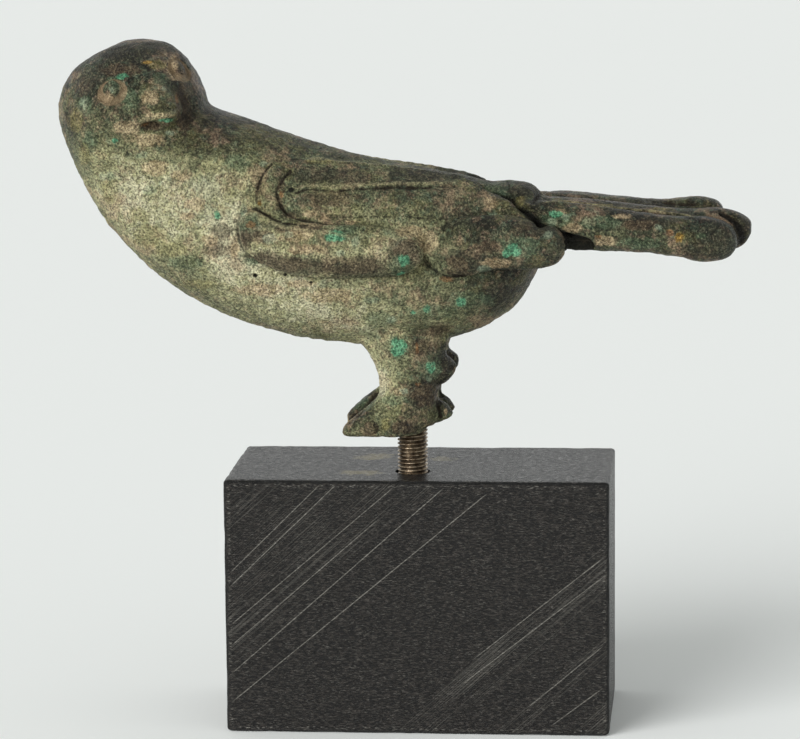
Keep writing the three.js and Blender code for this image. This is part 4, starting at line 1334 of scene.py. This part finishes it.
def vessel_threads(tree, place):
    """Fine open vessels on the upright faces: thin slanting threads, crowded in bands."""
    slanted = add_node(tree, "Mapping", {
        "Vector": place, "Rotation": (0.0, -VESSEL_RISE, 0.0), "Scale": VESSEL_STRETCH,
    }, vector_type="TEXTURE")
    threads = cloudy(tree, slanted, size=1.0, seed=3.0, detail=2.0)
    across = add_node(tree, "VectorMath", {
        0: place, 1: (-math.sin(VESSEL_RISE), 0.0, math.cos(VESSEL_RISE)),
    }, operation="DOT_PRODUCT").outputs["Value"]
    crowded = VESSELS_ELSEWHERE
    for middle, half in VESSEL_BANDS:
        band = close_to(tree, across, middle, half, half / 2)
        crowded = add_node(tree, "Math", {0: crowded, 1: band}, operation="MAXIMUM")
    patchy = cloudy(tree, place, size=7.0, seed=9.0, span=(0.7, 1.1), detail=1.0)
    upright = add_node(tree, "MapRange", {
        "Value": add_node(tree, "SeparateXYZ", {0: place}).outputs["Z"],
        "From Min": BLOCK_HEIGHT - TOP_SKIN[0], "From Max": BLOCK_HEIGHT - TOP_SKIN[1],
    })
    for share in (add_node(tree, "Math", {0: crowded, 1: patchy}, operation="MULTIPLY"), upright):
        threads = add_node(tree, "Math", {0: threads, 1: share}, operation="MULTIPLY")
    return threads


def block_material():
    """The block's wood: level pores, slanting vessels on the upright faces, stains on the top, and
    black edges."""
    material, tree = new_material("blackened_wood")
    place = place_in_mm(tree)
    # The pores are about 0.08 mm wide and are drawn wider so that they show
    level = add_node(tree, "Mapping", {
        "Vector": place, "Scale": PORE_STRETCH,
    }, vector_type="TEXTURE")
    pores = cloudy(tree, level, size=1.0, seed=1.0, detail=3.0, harshness=0.8)
    specks = cloudy(tree, level, size=0.9, seed=2.0, detail=3.0)
    threads = vessel_threads(tree, place)
    base = deposit(tree, WOOD_DARK, WOOD_LIGHT, pores, low=0.3, high=1.0)
    base = deposit(tree, base, WOOD_OPEN, threads, low=0.4, high=1.0, strength=0.14)
    base = deposit(tree, base, WOOD_OPEN, specks, low=0.75, high=1.0, strength=0.2)
    base = with_vessels(tree, base, place, specks)
    base = with_stains(tree, base, place)
    base = with_edges(tree, base, specks)
    finish_material(tree, {
        "Base Color": base,
        "Roughness": add_node(tree, "MapRange", {
            "Value": pores, "To Min": WOOD_ROUGH, "To Max": WOOD_WAXED,
        }),
        "Specular IOR Level": 0.25,
        "Coat Weight": 0.05,
        "Coat Roughness": 0.25,
    }, add_node(tree, "Math", {0: pores, 1: threads}, operation="SUBTRACT"), WOOD_RELIEF)
    return material


# The studio: a pale floor, light from all round that is bright near the floor and dimmer overhead,
# and a large soft lamp. Half the floor's width is in metres.
FLOOR_HALF, FLOOR_COLOUR, FLOOR_ROUGHNESS = 4.0, "#f1f3f1", 0.9
SKY_LOW, SKY_STRENGTH = "#f0f2f1", 1.3
# As the height of the direction goes from the first value to the second, this colour takes over
SKY_TONES = [(0.0, 0.25, "#e0e2e1"), (0.25, 0.6, "#a8aaa9"), (0.6, 1.0, "#8c8e8d")]
LAMP_STRENGTH, LAMP_SPREAD = 3.0, math.radians(45)
LAMP_SIDE, LAMP_RISE = math.radians(-38), math.radians(22)


def make_floor():
    """The floor: one square under the piece."""
    corners = np.array([(-1, -1, 0), (1, -1, 0), (1, 1, 0), (-1, 1, 0)]) * FLOOR_HALF
    mesh = new_mesh("floor", corners, [(0, 1, 2, 3)])
    material, tree = new_material("pale_card")
    shader = add_node(tree, "BsdfPrincipled", {
        "Base Color": FLOOR_COLOUR, "Roughness": FLOOR_ROUGHNESS,
    })
    add_node(tree, "OutputMaterial", {"Surface": shader})
    mesh.materials.append(material)
    in_scene("floor", mesh)


def light_studio():
    """The light from all round, by the height of its direction, and the lamp at the front left."""
    world = bpy.data.worlds.new("studio")
    bpy.context.scene.world = world
    world.use_nodes = True
    tree = world.node_tree
    direction = add_node(tree, "SeparateXYZ", {0: add_node(tree, "TexCoord").outputs["Generated"]})
    sky = SKY_LOW
    for low, high, tone in SKY_TONES:
        sky = deposit(tree, sky, tone, direction.outputs["Z"], low, high)
    background = tree.nodes["Background"]
    tree.links.new(sky, background.inputs["Color"])
    background.inputs["Strength"].default_value = SKY_STRENGTH
    light = bpy.data.lights.new("lamp", "SUN")
    light.energy = LAMP_STRENGTH
    light.angle = LAMP_SPREAD
    in_scene("lamp", light).matrix_world = (
        Matrix.Rotation(LAMP_SIDE, 4, "Z") @ Matrix.Rotation(math.pi / 2 - LAMP_RISE, 4, "X")
    )


def place_camera():
    """The camera at the viewer's place, with the picture's focal length."""
    lens = bpy.data.cameras.new("view")
    lens.sensor_width = SENSOR_WIDTH
    lens.lens = FOCAL_PIXELS / PICTURE_WIDTH * SENSOR_WIDTH
    lens.clip_start, lens.clip_end = CLIP_NEAR, CLIP_FAR
    camera = in_scene("view", lens)
    camera.matrix_world = Matrix([
        *((RIGHT[axis], UP[axis], -FORWARD[axis], VIEW_PLACE[axis] * MM) for axis in range(3)),
        (0, 0, 0, 1),
    ])
    bpy.context.scene.camera = camera


place_piece("falcon_bronze", make_falcon(), falcon_material(), "falcon")
place_piece("rod_thread", make_rod(), rod_material(), "threaded_rod")
place_piece("wooden_block", make_block(), block_material(), "mount_block")
make_floor()
light_studio()
place_camera()
bpy.context.scene.view_settings.view_transform = "Standard"
